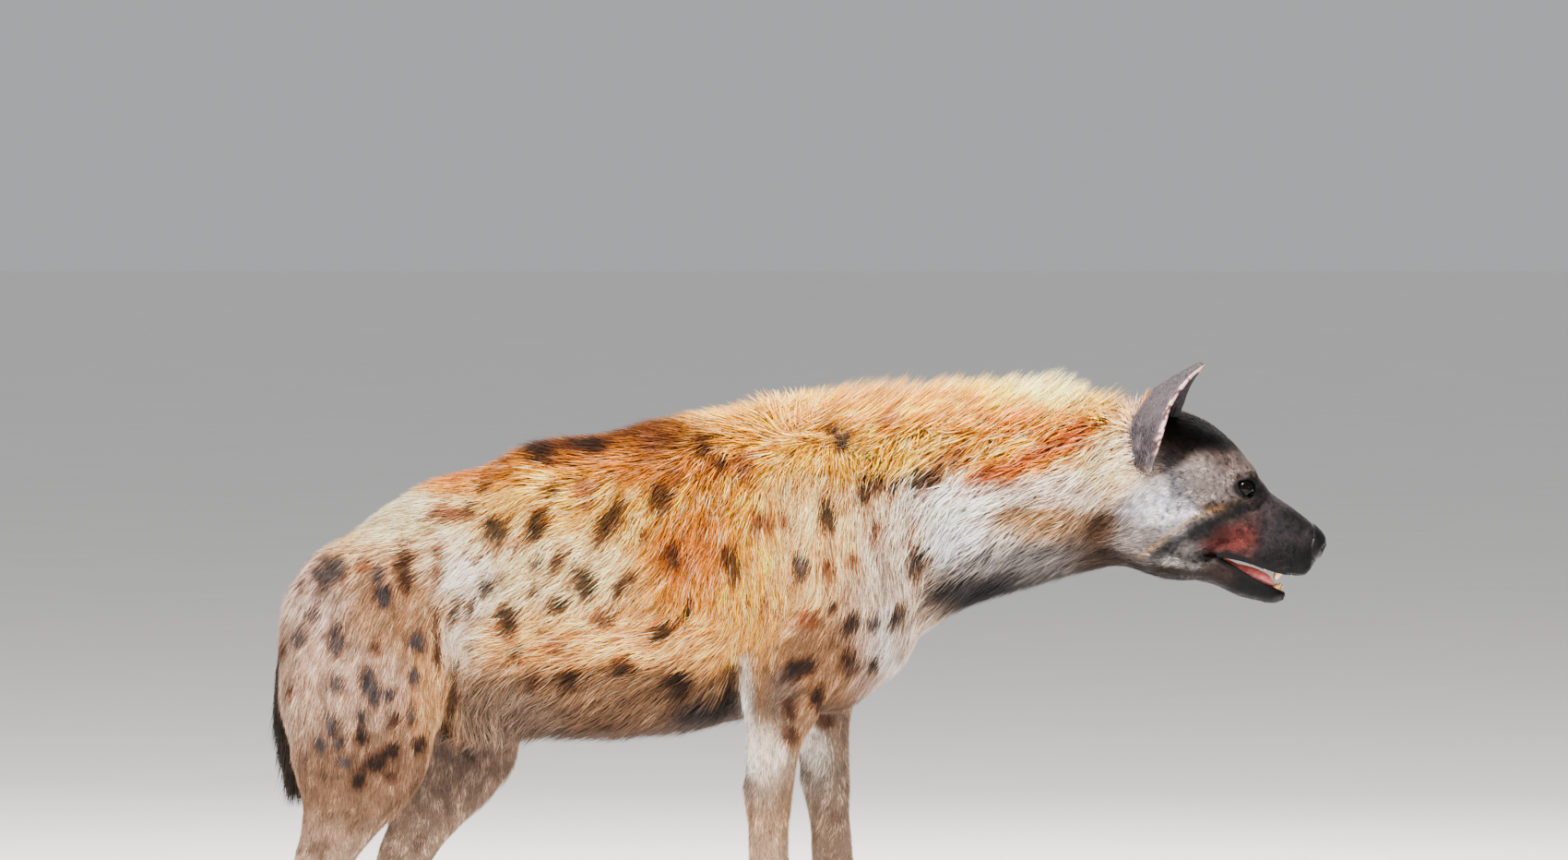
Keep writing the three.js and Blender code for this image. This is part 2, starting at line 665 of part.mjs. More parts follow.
function headParts() {
  const skull = cast(...FACETS.head, 190, bodyDistance, headRing);
  const jaw = sectionSweep(JAW, ...FACETS.jaw, JAW[0][0], 226.5, 0);
  const hollow = ({ u, v, half }) => {
    const at = fromHead(u, v, 0);
    return ballSolid([at.x, at.y, at.z], half, FACETS.hollow, HEAD_PITCH);
  };
  const roof = hollow(MOUTH.roof);
  const bed = hollow(MOUTH.bed);
  const upperLip = tubeSolid(lipCurve(LIPS.upper), LIPS.upperRadius, ...FACETS.lip);
  const lowerLip = tubeSolid(lipCurve(LIPS.lower), LIPS.lowerRadius, ...FACETS.lip);

  const upper = skull.subtract(roof).add(upperLip);
  const cheek = jaw.subtract(jawRegion(GAP));
  const whole = union([upper, ...teeth(UPPER_TEETH), cheek, lidSolid(1), lidSolid(-1)]);
  const sockets = eyeSolid(1, EYE.radius + GAP).add(eyeSolid(-1, EYE.radius + GAP));
  const behind = boxSolid([-1000, -300, 0], [HEAD_START + GAP, 300, 1200]);
  const noseBox = (grow) => {
    const geometry = new THREE.BoxGeometry(40, 80, 60);
    geometry.rotateY(HEAD_PITCH + 0.12);
    const at = fromHead(226 + 20 - grow, 17 + 30 - grow, 0);
    geometry.translate(at.x, at.y, at.z);
    return solidFrom(geometry);
  };
  const head = largest(whole.subtract(sockets).subtract(behind).subtract(noseBox(GAP)));
  const pad = skull.intersect(noseBox(0));
  const nose = largest(pad.subtract(nostrilSolid(1)).subtract(nostrilSolid(-1)));
  const grownHead = cast(...FACETS.head, 190, (p) => bodyDistance(p) - GAP, headRing).subtract(roof);
  const bone = jaw.add(lowerLip).intersect(jawRegion(0));
  const lowerJaw = union([bone, ...teeth(LOWER_TEETH)]);
  const bedded = lowerJaw.subtract(bed).add(union(teeth(LOWER_TEETH)).intersect(jaw));
  const lower = largest(bedded.subtract(grownHead).subtract(head));
  return { head, nose, lower };
}

// The tongue lies in the lower jaw between the teeth
function tongueSolid() {
  const [back, tip] = [TONGUE[0][0], TONGUE[TONGUE.length - 1][0]];
  return sweep(...FACETS.tongue, (share, angle, radius) => {
    const u = back + (tip - back) * share;
    const at = (column) => smooth(TONGUE, column, u);
    return fromHead(u, at(1) + radius * at(3) * Math.cos(angle), radius * at(2) * Math.sin(angle));
  });
}

// A curved sheet: a point between the ear's lines, across from its inner to its outer margin
function earSolid(side, grow = 0) {
  const line = (points) => new THREE.CatmullRomCurve3(points.map((p) => new THREE.Vector3(...p)));
  const [back, outer, inner] = [line(EAR.back), line(EAR.outer), line(EAR.inner)];
  const at = (s, t) => {
    const [b, o, i] = [back.getPoint(s), outer.getPoint(s), inner.getPoint(s)];
    const round = Math.sqrt(Math.max(0, 1 - Math.max(0, (s - 0.72) / 0.28) ** 2.2));
    const across = o.clone().sub(i).multiplyScalar(0.5 * t);
    const deep = o.clone().add(i).multiplyScalar(0.5).sub(b).multiplyScalar(t * t);
    return b.add(across.multiplyScalar(0.25 + 0.75 * round)).add(deep);
  };
  const geometry = new THREE.BoxGeometry(2, 1, 2, ...FACETS.ear, 1);
  const position = geometry.getAttribute('position');
  for (let n = 0; n < position.count; n += 1) {
    const [t, s, face] = [position.getX(n), position.getY(n) + 0.5, position.getZ(n)];
    const alongS = at(Math.min(1, s + 0.01), t).sub(at(Math.max(0, s - 0.01), t));
    const alongT = at(s, t + 0.01).sub(at(s, t - 0.01));
    const normal = alongT.cross(alongS).normalize();
    const thick = EAR_THICKNESS.rim + (EAR_THICKNESS.root - EAR_THICKNESS.rim) * (1 - s) * (1 - t * t);
    const point = at(s, t).addScaledVector(normal, face * (thick / 2 + grow));
    position.setXYZ(n, point.x, side * point.y, point.z);
  }
  return solidFrom(geometry);
}

// Tail with its brush of long locks

function tailSolid() {
  const curve = new THREE.CatmullRomCurve3(TAIL.map(([x, z]) => new THREE.Vector3(x, 0, z)));
  const table = TAIL.map((row) => [row[1], row[2]]);
  const bone = sweep(...FACETS.tail, (share, angle, radius) => {
    const point = curve.getPointAt(share);
    const tangent = curve.getTangentAt(share);
    const back = tangent.clone().cross(Y_AXIS).normalize();
    const fullness = radius * smooth(table, 1, point.z);
    const [c, s] = [fullness * Math.cos(angle), fullness * Math.sin(angle)];
    return point.addScaledVector(back, c).addScaledVector(Y_AXIS, s);
  });
  const locks = [];
  for (let tier = 0; tier < BRUSH.tiers; tier += 1) {
    const z = BRUSH.from + ((BRUSH.to - BRUSH.from) * tier) / (BRUSH.tiers - 1);
    const x = smooth(TAIL.map((row) => [row[1], row[0]]), 1, z);
    const radius = smooth(table, 1, z);
    for (let n = 0; n < BRUSH.around; n += 1) {
      const angle = ((n + (tier % 2) / 2) / BRUSH.around) * 2 * Math.PI + 0.3 * random();
      const out = new THREE.Vector3(Math.cos(angle), Math.sin(angle), 0);
      const root = new THREE.Vector3(x, 0, z).addScaledVector(out, radius * 0.9);
      const heading = new THREE.Vector3(0.06, 0, -1).addScaledVector(out, 0.3).normalize();
      const flat = new THREE.Vector3(-Math.sin(angle), Math.cos(angle), 0);
      const length = vary(BRUSH.length, 0.12);
      locks.push(lock(root, heading, out.multiplyScalar(-0.1), flat, length, BRUSH.width, BRUSH.thick));
    }
  }
  return union([bone, ...locks]);
}

const REGION_STEPS = 22;

// Outlines of the legs as a person would part them from the trunk, [x, z]
const REGIONS = {
  foreleg_right: {
    inner: 46,
    outline: [
      [-118, -20], [-96, 380], [-104, 470], [-84, 540], [-20, 575],
      [52, 552], [84, 480], [64, 400], [30, 330], [60, -20],
    ],
  },
  foreleg_left: {
    inner: 46,
    outline: [
      [-40, -20], [-46, 380], [-84, 470], [-74, 540], [-10, 575],
      [62, 552], [92, 480], [84, 400], [90, 330], [130, -20],
    ],
  },
  hindleg_right: {
    inner: 20,
    outline: [
      [-720, -20], [-720, 480], [-650, 545], [-560, 590], [-480, 575],
      [-436, 500], [-436, 440], [-462, 340], [-440, -20],
    ],
  },
  hindleg_left: {
    inner: 20,
    outline: [
      [-720, -20], [-720, 480], [-650, 545], [-550, 590], [-450, 575],
      [-382, 500], [-350, 440], [-340, 340], [-360, -20],
    ],
  },
};

function buildNodes() {
  const nodes = new Map();
  const skinned = [cast(...FACETS.trunk, 420, trunkDistance, torsoRing)];
  const sides = { foreleg_right: -1, foreleg_left: 1, hindleg_right: -1, hindleg_left: 1 };
  for (const [name, side] of Object.entries(sides)) skinned.push(legSolid(name, side));
  const whole = union(skinned);

  let torso = whole;
  for (const [name, side] of Object.entries(sides)) {
    const { inner, outline } = REGIONS[name];
    const region = (grow) => {
      const [low, high] = side > 0 ? [inner - grow, 400] : [-400, grow - inner];
      return prism(outline, low, high, grow, REGION_STEPS);
    };
    const aboveFoot = boxSolid([-1000, -400, PAW_HEIGHT], [1000, 400, 1200]);
    const leg = whole.intersect(region(0)).intersect(aboveFoot);
    nodes.set(name, { solid: largest(leg), material: 'leg' });
    torso = torso.subtract(region(GAP));
  }
  const beforeNeck = boxSolid([-1000, -400, 0], [NECK_START, 400, 1200]);
  const maned = union([largest(torso), ...maneLocks(MANE.from, NECK_START - 30)]).intersect(beforeNeck);

  const tail = tailSolid();
  const grownRump = cast(...FACETS.trunk, 420, (p) => trunkDistance(p) - GAP, torsoRing);
  nodes.set('tail', { solid: largest(tail.subtract(grownRump).subtract(maned)), material: 'tail' });
  nodes.set('torso', { solid: largest(maned), material: 'coat' });

  const neckOnly = cast(...FACETS.neck, 300, bodyDistance, spread(NECK_START + GAP, HEAD_START));
  const behindHead = boxSolid([NECK_START + GAP, -400, 0], [HEAD_START, 400, 1200]);
  const beyondTrunk = boxSolid([NECK_START + GAP, -400, 0], [1000, 400, 1200]);
  const grownSkull = cast(...FACETS.head, 190, (p) => bodyDistance(p) - GAP, headRing);
  const crest = union(maneLocks(NECK_START + 6, MANE.to)).subtract(grownSkull).intersect(beyondTrunk);
  const earRoom = earSolid(1, GAP).add(earSolid(-1, GAP));
  const neck = neckOnly.intersect(behindHead).add(crest).subtract(earRoom);
  nodes.set('neck', { solid: largest(neck), material: 'neckCoat' });

  const { head, nose, lower } = headParts();
  nodes.set('nose', { solid: nose, material: 'nose' });
  nodes.set('lower_jaw', { solid: lower, material: 'face' });
  nodes.set('head', { solid: head, material: 'face' });
  nodes.set('tongue', { solid: largest(tongueSolid().subtract(lower)), material: 'gum' });
  const aroundNeck = spread(NECK_START, HEAD_START + GAP * 2);
  const grownNeck = cast(...FACETS.neck, 300, (p) => bodyDistance(p) - GAP, aroundNeck);
  for (const [name, side] of [['right', -1], ['left', 1]]) {
    const ear = earSolid(side).subtract(grownSkull).subtract(grownNeck);
    nodes.set(`ear_${name}`, { solid: largest(ear), material: 'ear' });
    nodes.set(`eye_${name}`, { solid: eyeSolid(side, EYE.radius), material: 'eye' });
  }
  for (const foot of Object.values(FEET)) {
    for (const name of foot.legs) {
      const paw = `paw_${name.replace('leg', '')}`;
      nodes.set(paw, { solid: pawSolid(name, sides[name], foot), material: 'leg' });
    }
  }
  return nodes;
}

function meshOf(name, solid, material) {
  const { vertProperties, triVerts } = solid.getMesh();
  const geometry = new THREE.BufferGeometry();
  geometry.setAttribute('position', new THREE.BufferAttribute(vertProperties, 3));
  geometry.setIndex(new THREE.BufferAttribute(triVerts, 1));
  geometry.computeVertexNormals();
  const mesh = new THREE.Mesh(geometry, material);
  mesh.name = name;
  return mesh;
}

const hyena = new THREE.Group();
for (const [name, { solid, material }] of buildNodes()) {
  hyena.add(meshOf(name, solid, MATERIALS[material]));
}

// The origin is on the ground, under the middle of the whole model
const bounds = new THREE.Box3().setFromObject(hyena);
const middle = bounds.getCenter(new THREE.Vector3());
hyena.position.set(-middle.x, -middle.y, -bounds.min.z);

export default hyena;
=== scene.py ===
# The looks of a life-size spotted hyena that stands with its neck stretched forward, its mouth a little open.
# Forms are worked out in millimetres, in the frame that the solids were drawn in, and become metres as they
# are turned into meshes: +X runs from the rump to the nose, +Y to the animal's left, +Z up from the ground.
import math

import bpy
import numpy as np
from mathutils.kdtree import KDTree
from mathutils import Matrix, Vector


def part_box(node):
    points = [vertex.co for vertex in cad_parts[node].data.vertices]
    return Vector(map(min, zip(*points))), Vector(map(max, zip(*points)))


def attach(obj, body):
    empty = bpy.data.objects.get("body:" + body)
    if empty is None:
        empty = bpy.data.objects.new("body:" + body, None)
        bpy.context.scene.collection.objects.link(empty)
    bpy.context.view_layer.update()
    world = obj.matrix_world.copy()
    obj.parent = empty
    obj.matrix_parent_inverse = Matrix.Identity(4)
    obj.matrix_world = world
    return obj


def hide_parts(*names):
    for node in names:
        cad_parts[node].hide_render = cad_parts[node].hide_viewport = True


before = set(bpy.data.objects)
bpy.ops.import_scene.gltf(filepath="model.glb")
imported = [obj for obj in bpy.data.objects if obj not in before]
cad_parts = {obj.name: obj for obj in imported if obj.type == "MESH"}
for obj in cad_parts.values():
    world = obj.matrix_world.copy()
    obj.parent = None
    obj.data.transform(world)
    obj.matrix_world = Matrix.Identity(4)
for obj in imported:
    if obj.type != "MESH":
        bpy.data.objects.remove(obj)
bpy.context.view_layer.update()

# Driving sizes, the same as in the solids
HEAD_START = 372
HEAD_ORIGIN = np.array([400.0, 0.0, 690.0])
HEAD_PITCH = math.radians(28)
EYE = {"along": 120, "up": 55, "side": 47, "radius": 12.5, "outward": 62, "lift": 6}
EAR_THICKNESS = {"root": 7, "rim": 3.2}
PAW_HEIGHT = 74
CLAW_BACK, CLAW_REACH, CLAW_DROP, CLAW_RADIUS = 7, 1.45, 0.85, 0.36

# Sizes of the dressed model
SKIN_STEP = 6.35
HEAD_STEP = 2.03
NOSE_STEP = 1.3
HEAD_CUT = 396.0  # where the finer skin of the head takes over
TUFT_COUNT = 305000
MANE_COUNT = 12000
MOST_IN_A_PIECE = 48000
EAR_TUFTS, TAIL_TUFTS = 6000, 9000

# The photo's frame: its pixels for each millimetre at the animal, and the pixel over the drawing's origin
PHOTO_SCALE = 0.88
PHOTO_ORIGIN = (880, 1128)
PHOTO_SIZE = (1700, 932)

# Trunk and neck, in upright sections: x, top, bottom, half width, height of the widest place
TRUNK = [
    (-622, 560, 486, 18, 522), (-616, 584, 462, 46, 522), (-604, 602, 440, 72, 522),
    (-586, 618, 422, 94, 522), (-560, 637, 406, 111, 525), (-510, 673, 396, 126, 530),
    (-460, 697, 390, 137, 532), (-400, 713, 381, 149, 532), (-330, 741, 373, 159, 532),
    (-250, 751, 371, 164, 534), (-180, 768, 377, 161, 540), (-100, 781, 387, 151, 552),
    (-30, 787, 392, 139, 565), (30, 787, 398, 127, 580), (80, 786, 430, 116, 600),
    (110, 786, 458, 109, 622), (140, 788, 500, 103, 645), (193, 790, 531, 96, 662),
    (250, 792, 549, 92, 672), (307, 793, 565, 89, 680), (341, 792, 574, 88, 684),
    (372, 790, 582, 87, 688), (420, 780, 590, 84, 690),
]

# Skull, cheeks and upper jaw, across the head's own axis: u, top, bottom, half width, widest
HEAD = [
    (-45, 98, -90, 82, 8), (0, 106, -92, 87, 4), (28, 108, -88, 91, 0), (56, 106, -80, 91, 0),
    (79, 101, -69, 86, 4), (94, 96, -60, 78, 8), (110, 89, -50, 68, 12), (128, 79, -38, 57, 15),
    (140, 73, -31, 51, 15), (155, 66, -26, 46, 14), (183, 62, -18, 43, 12), (211, 57, -15, 41, 12),
    (228, 53, -9, 36, 15), (238, 48, 5, 28, 24), (244, 40, 22, 16, 30),
]

# Lower jaw: u, top, bottom, half width, widest
JAW = [
    (20, -30, -94, 66, -62), (60, -34, -96, 67, -66), (85, -36, -92, 60, -66), (106, -35, -84, 53, -62),
    (125, -33, -75, 45, -56), (150, -33, -69, 38, -52), (175, -36, -67, 34, -52), (197, -37, -62, 31, -50),
    (212, -34, -57, 28, -46), (222, -33, -50, 21, -42), (227, -36, -44, 11, -40),
]

# Legs in level sections: z, x, y (away from the middle), half length, half width
LEGS = {
    "foreleg_right": [
        (610, 2, 88, 70, 34), (545, -6, 96, 82, 42), (485, -20, 101, 76, 44), (430, -32, 101, 61, 41),
        (390, -42, 99, 49, 37), (350, -50, 96, 39, 33), (300, -53, 94, 32, 29), (250, -53, 92, 28, 27),
        (212, -52, 91, 29, 28), (185, -50, 91, 31, 30), (150, -47, 90, 26, 27), (110, -44, 90, 24, 26),
        (PAW_HEIGHT, -40, 90, 27, 29),
    ],
    "foreleg_left": [
        (610, 10, 88, 70, 34), (545, 8, 96, 82, 42), (485, 4, 101, 74, 44), (430, 5, 101, 60, 41),
        (390, 9, 99, 48, 37), (350, 14, 96, 39, 33), (300, 19, 94, 32, 29), (250, 24, 92, 28, 27),
        (212, 27, 91, 29, 28), (185, 30, 91, 31, 30), (150, 34, 90, 26, 27), (110, 39, 90, 24, 26),
        (PAW_HEIGHT, 45, 90, 27, 29),
    ],
    "hindleg_right": [
        (592, -530, 66, 48, 30), (560, -541, 76, 90, 48), (500, -551, 84, 107, 56), (440, -552, 90, 107, 57),
        (385, -551, 93, 98, 52), (340, -552, 94, 85, 45), (300, -561, 94, 68, 38), (260, -580, 92, 50, 31),
        (225, -598, 91, 40, 27), (198, -605, 90, 34, 26), (160, -603, 90, 26, 23), (110, -599, 90, 23, 23),
        (PAW_HEIGHT, -593, 90, 27, 28),
    ],
    "hindleg_left": [
        (592, -526, 66, 48, 30), (560, -522, 76, 94, 48), (500, -505, 84, 110, 56), (440, -474, 90, 107, 57),
        (385, -447, 93, 95, 52), (340, -444, 94, 82, 45), (300, -458, 94, 66, 38), (260, -481, 92, 49, 31),
        (225, -502, 91, 40, 27), (198, -511, 90, 34, 26), (160, -507, 90, 26, 23), (110, -500, 90, 23, 23),
        (PAW_HEIGHT, -491, 90, 27, 28),
    ],
}
LEG_SIDE = {"foreleg_right": -1, "foreleg_left": 1, "hindleg_right": -1, "hindleg_left": 1}

# The foot below each leg, and its toes from the outer to the inner one: share across, and how far back
FEET = {
    "foreleg": {"reach": 62, "heel": 36, "half_width": 38, "toe": 15.5},
    "hindleg": {"reach": 58, "heel": 32, "half_width": 34, "toe": 14},
}
TOES = [(0.74, 17), (0.27, 2), (-0.27, 0), (-0.74, 14)]

# Muscle masses: middle and half lengths, mirrored left and right
SHOULDER = ((2, 86, 606), (98, 46, 142))
HAUNCH = ((-545, 68, 536), (104, 56, 92))
BROW = ((104, 36, 66), (30, 22, 22))
WHISKER_PAD = ((206, 27, 4), (34, 18, 20))

# Tail: x, z and radius from its root down to the end of the bone
TAIL = [
    (-578, 592, 20), (-606, 576, 21), (-629, 545, 19), (-640, 500, 17),
    (-643, 445, 15), (-641, 395, 13), (-637, 345, 9),
]

# Ear lines from root to tip, for the left ear: the back of the cup and its two margins
EAR = {
    "back": [(388, 62, 722), (396, 72, 764), (421, 80, 800), (452, 84, 822), (475, 86, 836)],
    "outer": [(416, 91, 702), (429, 110, 748), (440, 120, 786), (459, 119, 815), (478, 108, 832)],
    "inner": [(446, 36, 756), (456, 34, 783), (464, 38, 806), (473, 50, 824), (483, 64, 834)],
}

# The open mouth, in the head's frame: hollows (u, v, half lengths), and lips from the corner to the middle
MOUTH_ROOF = ((178, 0, -22), (58, 27, 17))
MOUTH_BED = ((176, 0, -34), (50, 24, 15))
MOUTH_GAP = [(134, 0, -34), (155, 0, -31), (180, 0, -30.5), (205, 0, -28), (226, 0, -22), (250, 0, -17)]
GAP_RADII = [0.5, 5.5, 9, 10.5, 12, 14]
UPPER_LIP = [(131, 47, -32), (158, 40, -23.5), (185, 38, -19), (214, 31, -13), (236, 0, -3)]
LOWER_LIP = [(133, 42, -37), (158, 35, -38), (182, 30, -40), (205, 22, -39.5), (222, 0, -37)]
LIP_RADIUS = {"upper": 3.2, "lower": 2.8}
FLEWS = {"upper": ((-4, 7.5), 8), "lower": ((-3, -6.5), 6.5)}

# Each pair of teeth: u, v of the root, distance from the middle, height, half width, lean
UPPER_TEETH = [
    (208, -6, 20, -22, 4.8, 0), (190, -8, 21, -16, 4.6, 0),
    (174, -9, 23, -17, 6, 0), (156, -13, 26, -15, 7, 0),
]
LOWER_TEETH = [
    (212, -44, 14, 14, 4.2, 2), (197, -46, 15, 10, 5, 0),
    (181, -46, 18, 10, 6, 0), (164, -46, 21, 10, 7, 0),
]

# The rows of front teeth: v of the roots, u of the middle, half width, height, spread
FRONT_TEETH = [(-4, 224, 3.0, -11, 9), (-38, 220, 2.6, 10, 7)]

# Tongue: u, middle height, half width, half thickness
TONGUE = [
    (140, -40, 4, 6.5), (152, -40, 17, 8.3), (180, -35, 19, 9.2), (200, -33, 17, 7.6), (211, -34.5, 10, 3.8),
]

rng = np.random.default_rng(11)


# Numbers and vectors

def smoothstep(x, low, high):
    t = np.clip((x - low) / (high - low), 0, 1)
    return t * t * (3 - 2 * t)


def unit(v):
    return v / np.maximum(np.linalg.norm(v, axis=-1, keepdims=True), 1e-9)


def mix(a, b, share):
    return a + (b - a) * share


class Curve:
    """The value of a table's column at a place along its first column, without overshoot."""

    def __init__(self, table, column):
        rows = np.array(table, float)
        if rows[0, 0] > rows[-1, 0]:
            rows = rows[::-1]
        self.x, self.y = rows[:, 0], rows[:, column]
        slope = np.diff(self.y) / np.diff(self.x)
        before, after = slope[:-1], slope[1:]
        safe = np.where(before * after > 0, before + after, 1.0)
        inner = np.where(before * after > 0, 2 * before * after / safe, 0.0)
        self.slope = np.concatenate([slope[:1], inner, slope[-1:]])

    def __call__(self, at):
        at = np.clip(at, self.x[0], self.x[-1])
        i = np.clip(np.searchsorted(self.x, at, side="right") - 1, 0, len(self.x) - 2)
        h = self.x[i + 1] - self.x[i]
        t = (at - self.x[i]) / h
        t2, t3 = t * t, t * t * t
        low = (2 * t3 - 3 * t2 + 1) * self.y[i] + (t3 - 2 * t2 + t) * self.slope[i] * h
        return low + (3 * t2 - 2 * t3) * self.y[i + 1] + (t3 - t2) * self.slope[i + 1] * h


def curves_of(table):
    """A curve for each column of a table, at the column's own number."""
    return [None] + [Curve(table, n) for n in range(1, len(table[0]))]


def catmull(rows, share):
    """Points on a smooth line through a row of points, at shares from 0 to 1 of the way."""
    rows = np.array(rows, float)
    padded = np.vstack([2 * rows[0] - rows[1], rows, 2 * rows[-1] - rows[-2]])
    at = share * (len(rows) - 1)
    i = np.clip(at.astype(int), 0, len(rows) - 2)
    t = (at - i)[:, None]
    a, b, c, d = (padded[i + n] for n in range(4))
    bend, twist = 2 * a - 5 * b + 4 * c - d, 3 * b - a - 3 * c + d
    return 0.5 * (2 * b + (c - a) * t + bend * t ** 2 + twist * t ** 3)


def hashed(cell, seed):
    """A random number from 0 to 1 for each whole-numbered cell."""
    h = cell[..., 0] * 73856093 ^ cell[..., 1] * 19349663 ^ cell[..., 2] * 83492791 ^ (seed * 2654435761)
    h = (h ^ (h >> 13)) * 1274126177 & 0xFFFFFFFF
    h = (h ^ (h >> 16)) * 2246822519 & 0xFFFFFFFF
    return ((h ^ (h >> 15)) & 0xFFFFFF) / 0xFFFFFF


# Turned axes, so that no fleck lines up with the model's own
TURNED = np.array([[0.36, 0.48, -0.8], [-0.8, 0.6, 0.0], [0.48, 0.64, 0.6]])


def noise(p, size, seed):
    """Smooth noise from -1 to 1 whose lumps are about size across."""
    q = p @ TURNED / size
    cell = np.floor(q).astype(np.int64)
    t = q - cell
    t = t * t * (3 - 2 * t)
    shares = (1 - t, t)
    total = np.zeros(len(p))
    for n in range(8):
        i, j, k = n & 1, n >> 1 & 1, n >> 2 & 1
        weight = shares[i][:, 0] * shares[j][:, 1] * shares[k][:, 2]
        total += weight * hashed(cell + np.array([i, j, k]), seed)
    return total * 2 - 1


def to_photo(p):
    """Where a point shows in the photo, in its pixels, seen square from the side."""
    return PHOTO_ORIGIN[0] + PHOTO_SCALE * p[:, 0], PHOTO_ORIGIN[1] - PHOTO_SCALE * p[:, 2]


def srgb(red, green, blue):
    c = np.array([red, green, blue], float)
    return np.where(c <= 0.04045, c / 12.92, ((c + 0.055) / 1.055) ** 2.4)


# Signed distances in millimetres, negative inside

def to_head(p):
    c, s = math.cos(HEAD_PITCH), math.sin(HEAD_PITCH)
    dx, dz = p[:, 0] - HEAD_ORIGIN[0], p[:, 2] - HEAD_ORIGIN[2]
    return np.stack([dx * c - dz * s, p[:, 1], dx * s + dz * c], axis=1)


def from_head(u, v, y):
    c, s = math.cos(HEAD_PITCH), math.sin(HEAD_PITCH)
    u, v, y = np.broadcast_arrays(np.asarray(u, float), v, y)
    return np.stack([HEAD_ORIGIN[0] + u * c + v * s, y, HEAD_ORIGIN[2] - u * s + v * c], axis=-1)


def oval(side, rise, half_width, up, down, power):
    half = np.where(rise > 0, up, down)
    size = (np.abs(side) / half_width) ** power + (np.abs(rise) / half) ** power
    ratio = np.maximum(size ** (1 / power), 1e-6)
    return np.maximum(np.hypot(side, rise), 1e-3) * (1 - 1 / ratio)


def sections(curves, along, side, rise, power):
    top, bottom, half_width, widest = (curves[n](along) for n in (1, 2, 3, 4))
    section = oval(side, rise - widest, half_width, top - widest, widest - bottom, power)
    beyond = np.maximum(curves[1].x[0] - along, along - curves[1].x[-1])
    return np.maximum(section, beyond)


def ellipsoid(p, at, half):
    q = p - np.array(at, float)
    half = np.array(half, float)
    k0 = np.linalg.norm(q / half, axis=1)
    k1 = np.linalg.norm(q / half ** 2, axis=1)
    return np.where(k1 < 1e-9, -half.min(), k0 * (k0 - 1) / np.maximum(k1, 1e-9))


def mirrored(p):
    return np.stack([p[:, 0], np.abs(p[:, 1]), p[:, 2]], axis=1)


def blend(a, b, width):
    h = np.maximum(width - np.abs(a - b), 0) / width
    return np.minimum(a, b) - h * h * width / 4


def carve(a, b, width):
    """What is left of a when b is cut away, with a rounded edge."""
    return -blend(-a, b, width)


def chain(p, path, radii):
    """Distance from a string of round bars through the points of a path."""
    best = np.full(len(p), 1e9)
    for a, b, ra, rb in zip(path[:-1], path[1:], radii[:-1], radii[1:]):
        ab = b - a
        t = np.clip(((p - a) @ ab) / (ab @ ab), 0, 1)
        best = np.minimum(best, np.linalg.norm(p - a - t[:, None] * ab, axis=1) - mix(ra, rb, t))
    return best


def line_nearness(x, z, path, width):
    """1 on a line of points in a side view, fading to 0 about a width away."""
    best = np.full(len(x), 1e9)
    for (ax, az), (bx, bz) in zip(path[:-1], path[1:]):
        dx, dz = bx - ax, bz - az
        t = np.clip(((x - ax) * dx + (z - az) * dz) / (dx * dx + dz * dz), 0, 1)
        best = np.minimum(best, np.hypot(x - ax - t * dx, z - az - t * dz))
    return np.exp(-(best / width) ** 2)


TRUNK_CURVES, HEAD_CURVES, JAW_CURVES = curves_of(TRUNK), curves_of(HEAD), curves_of(JAW)
LEG_CURVES = {name: curves_of(table) for name, table in LEGS.items()}


def trunk_surface(p):
    d = sections(TRUNK_CURVES, p[:, 0], p[:, 1], p[:, 2], 2.05)
    m = mirrored(p)
    for at, half in (SHOULDER, HAUNCH):
        d = blend(d, ellipsoid(m, at, half), 34)
    return d


def skull_surface(h):
    m = mirrored(h)
    d = sections(HEAD_CURVES, h[:, 0], h[:, 1], h[:, 2], 2.2)
    d = blend(d, ellipsoid(m, *BROW), 14)
    return blend(d, ellipsoid(m, *WHISKER_PAD), 10)


def foot_surface(p, name):
    foot = FEET[name.split("_")[0]]
    curves = LEG_CURVES[name]
    side = LEG_SIDE[name]
    x, y, half_length, half_width = (float(curves[n](PAW_HEIGHT)) for n in (1, 2, 3, 4))
    q = p - np.array([x, side * y, 0.0])
    low = smoothstep(1 - q[:, 2] / PAW_HEIGHT, 0.0, 0.72)
    front = mix(half_length, foot["reach"] - foot["toe"] + 2, low)
    back = mix(half_length, foot["heel"] - 4, low) - 7 * smoothstep(14 - q[:, 2], 0, 14)
    wide = mix(half_width, foot["half_width"] - 6, low)
    reach = np.where(q[:, 0] > 0, front, back)
    ratio = np.maximum(np.hypot(q[:, 0] / reach, q[:, 1] / wide), 1e-4)
    d = np.maximum(np.hypot(q[:, 0], q[:, 1]) * (1 - 1 / ratio), q[:, 2] - PAW_HEIGHT)
    for across, behind in TOES:
        at = (foot["reach"] - behind, side * across * foot["half_width"], foot["toe"] + 3)
        half = (foot["toe"] * 1.75, foot["half_width"] * 0.25, foot["toe"] + 3)
        d = blend(d, ellipsoid(q, at, half), 7)
    return d


def leg_surface(p, name):
    curves = LEG_CURVES[name]
    z = p[:, 2]
    x, y, half_length, half_width = (curves[n](z) for n in (1, 2, 3, 4))
    dx, dy = p[:, 0] - x, p[:, 1] - LEG_SIDE[name] * y
    ratio = ((np.abs(dx) / half_length) ** 2.17 + (np.abs(dy) / half_width) ** 2.17) ** (1 / 2.17)
    shaft = np.maximum(np.hypot(dx, dy), 1e-3) * (1 - 1 / np.maximum(ratio, 1e-4))
    shaft = np.maximum(shaft, z - LEGS[name][0][0])
    shaft = np.maximum(shaft, 40 - z)
    return blend(shaft, foot_surface(p, name), 2)


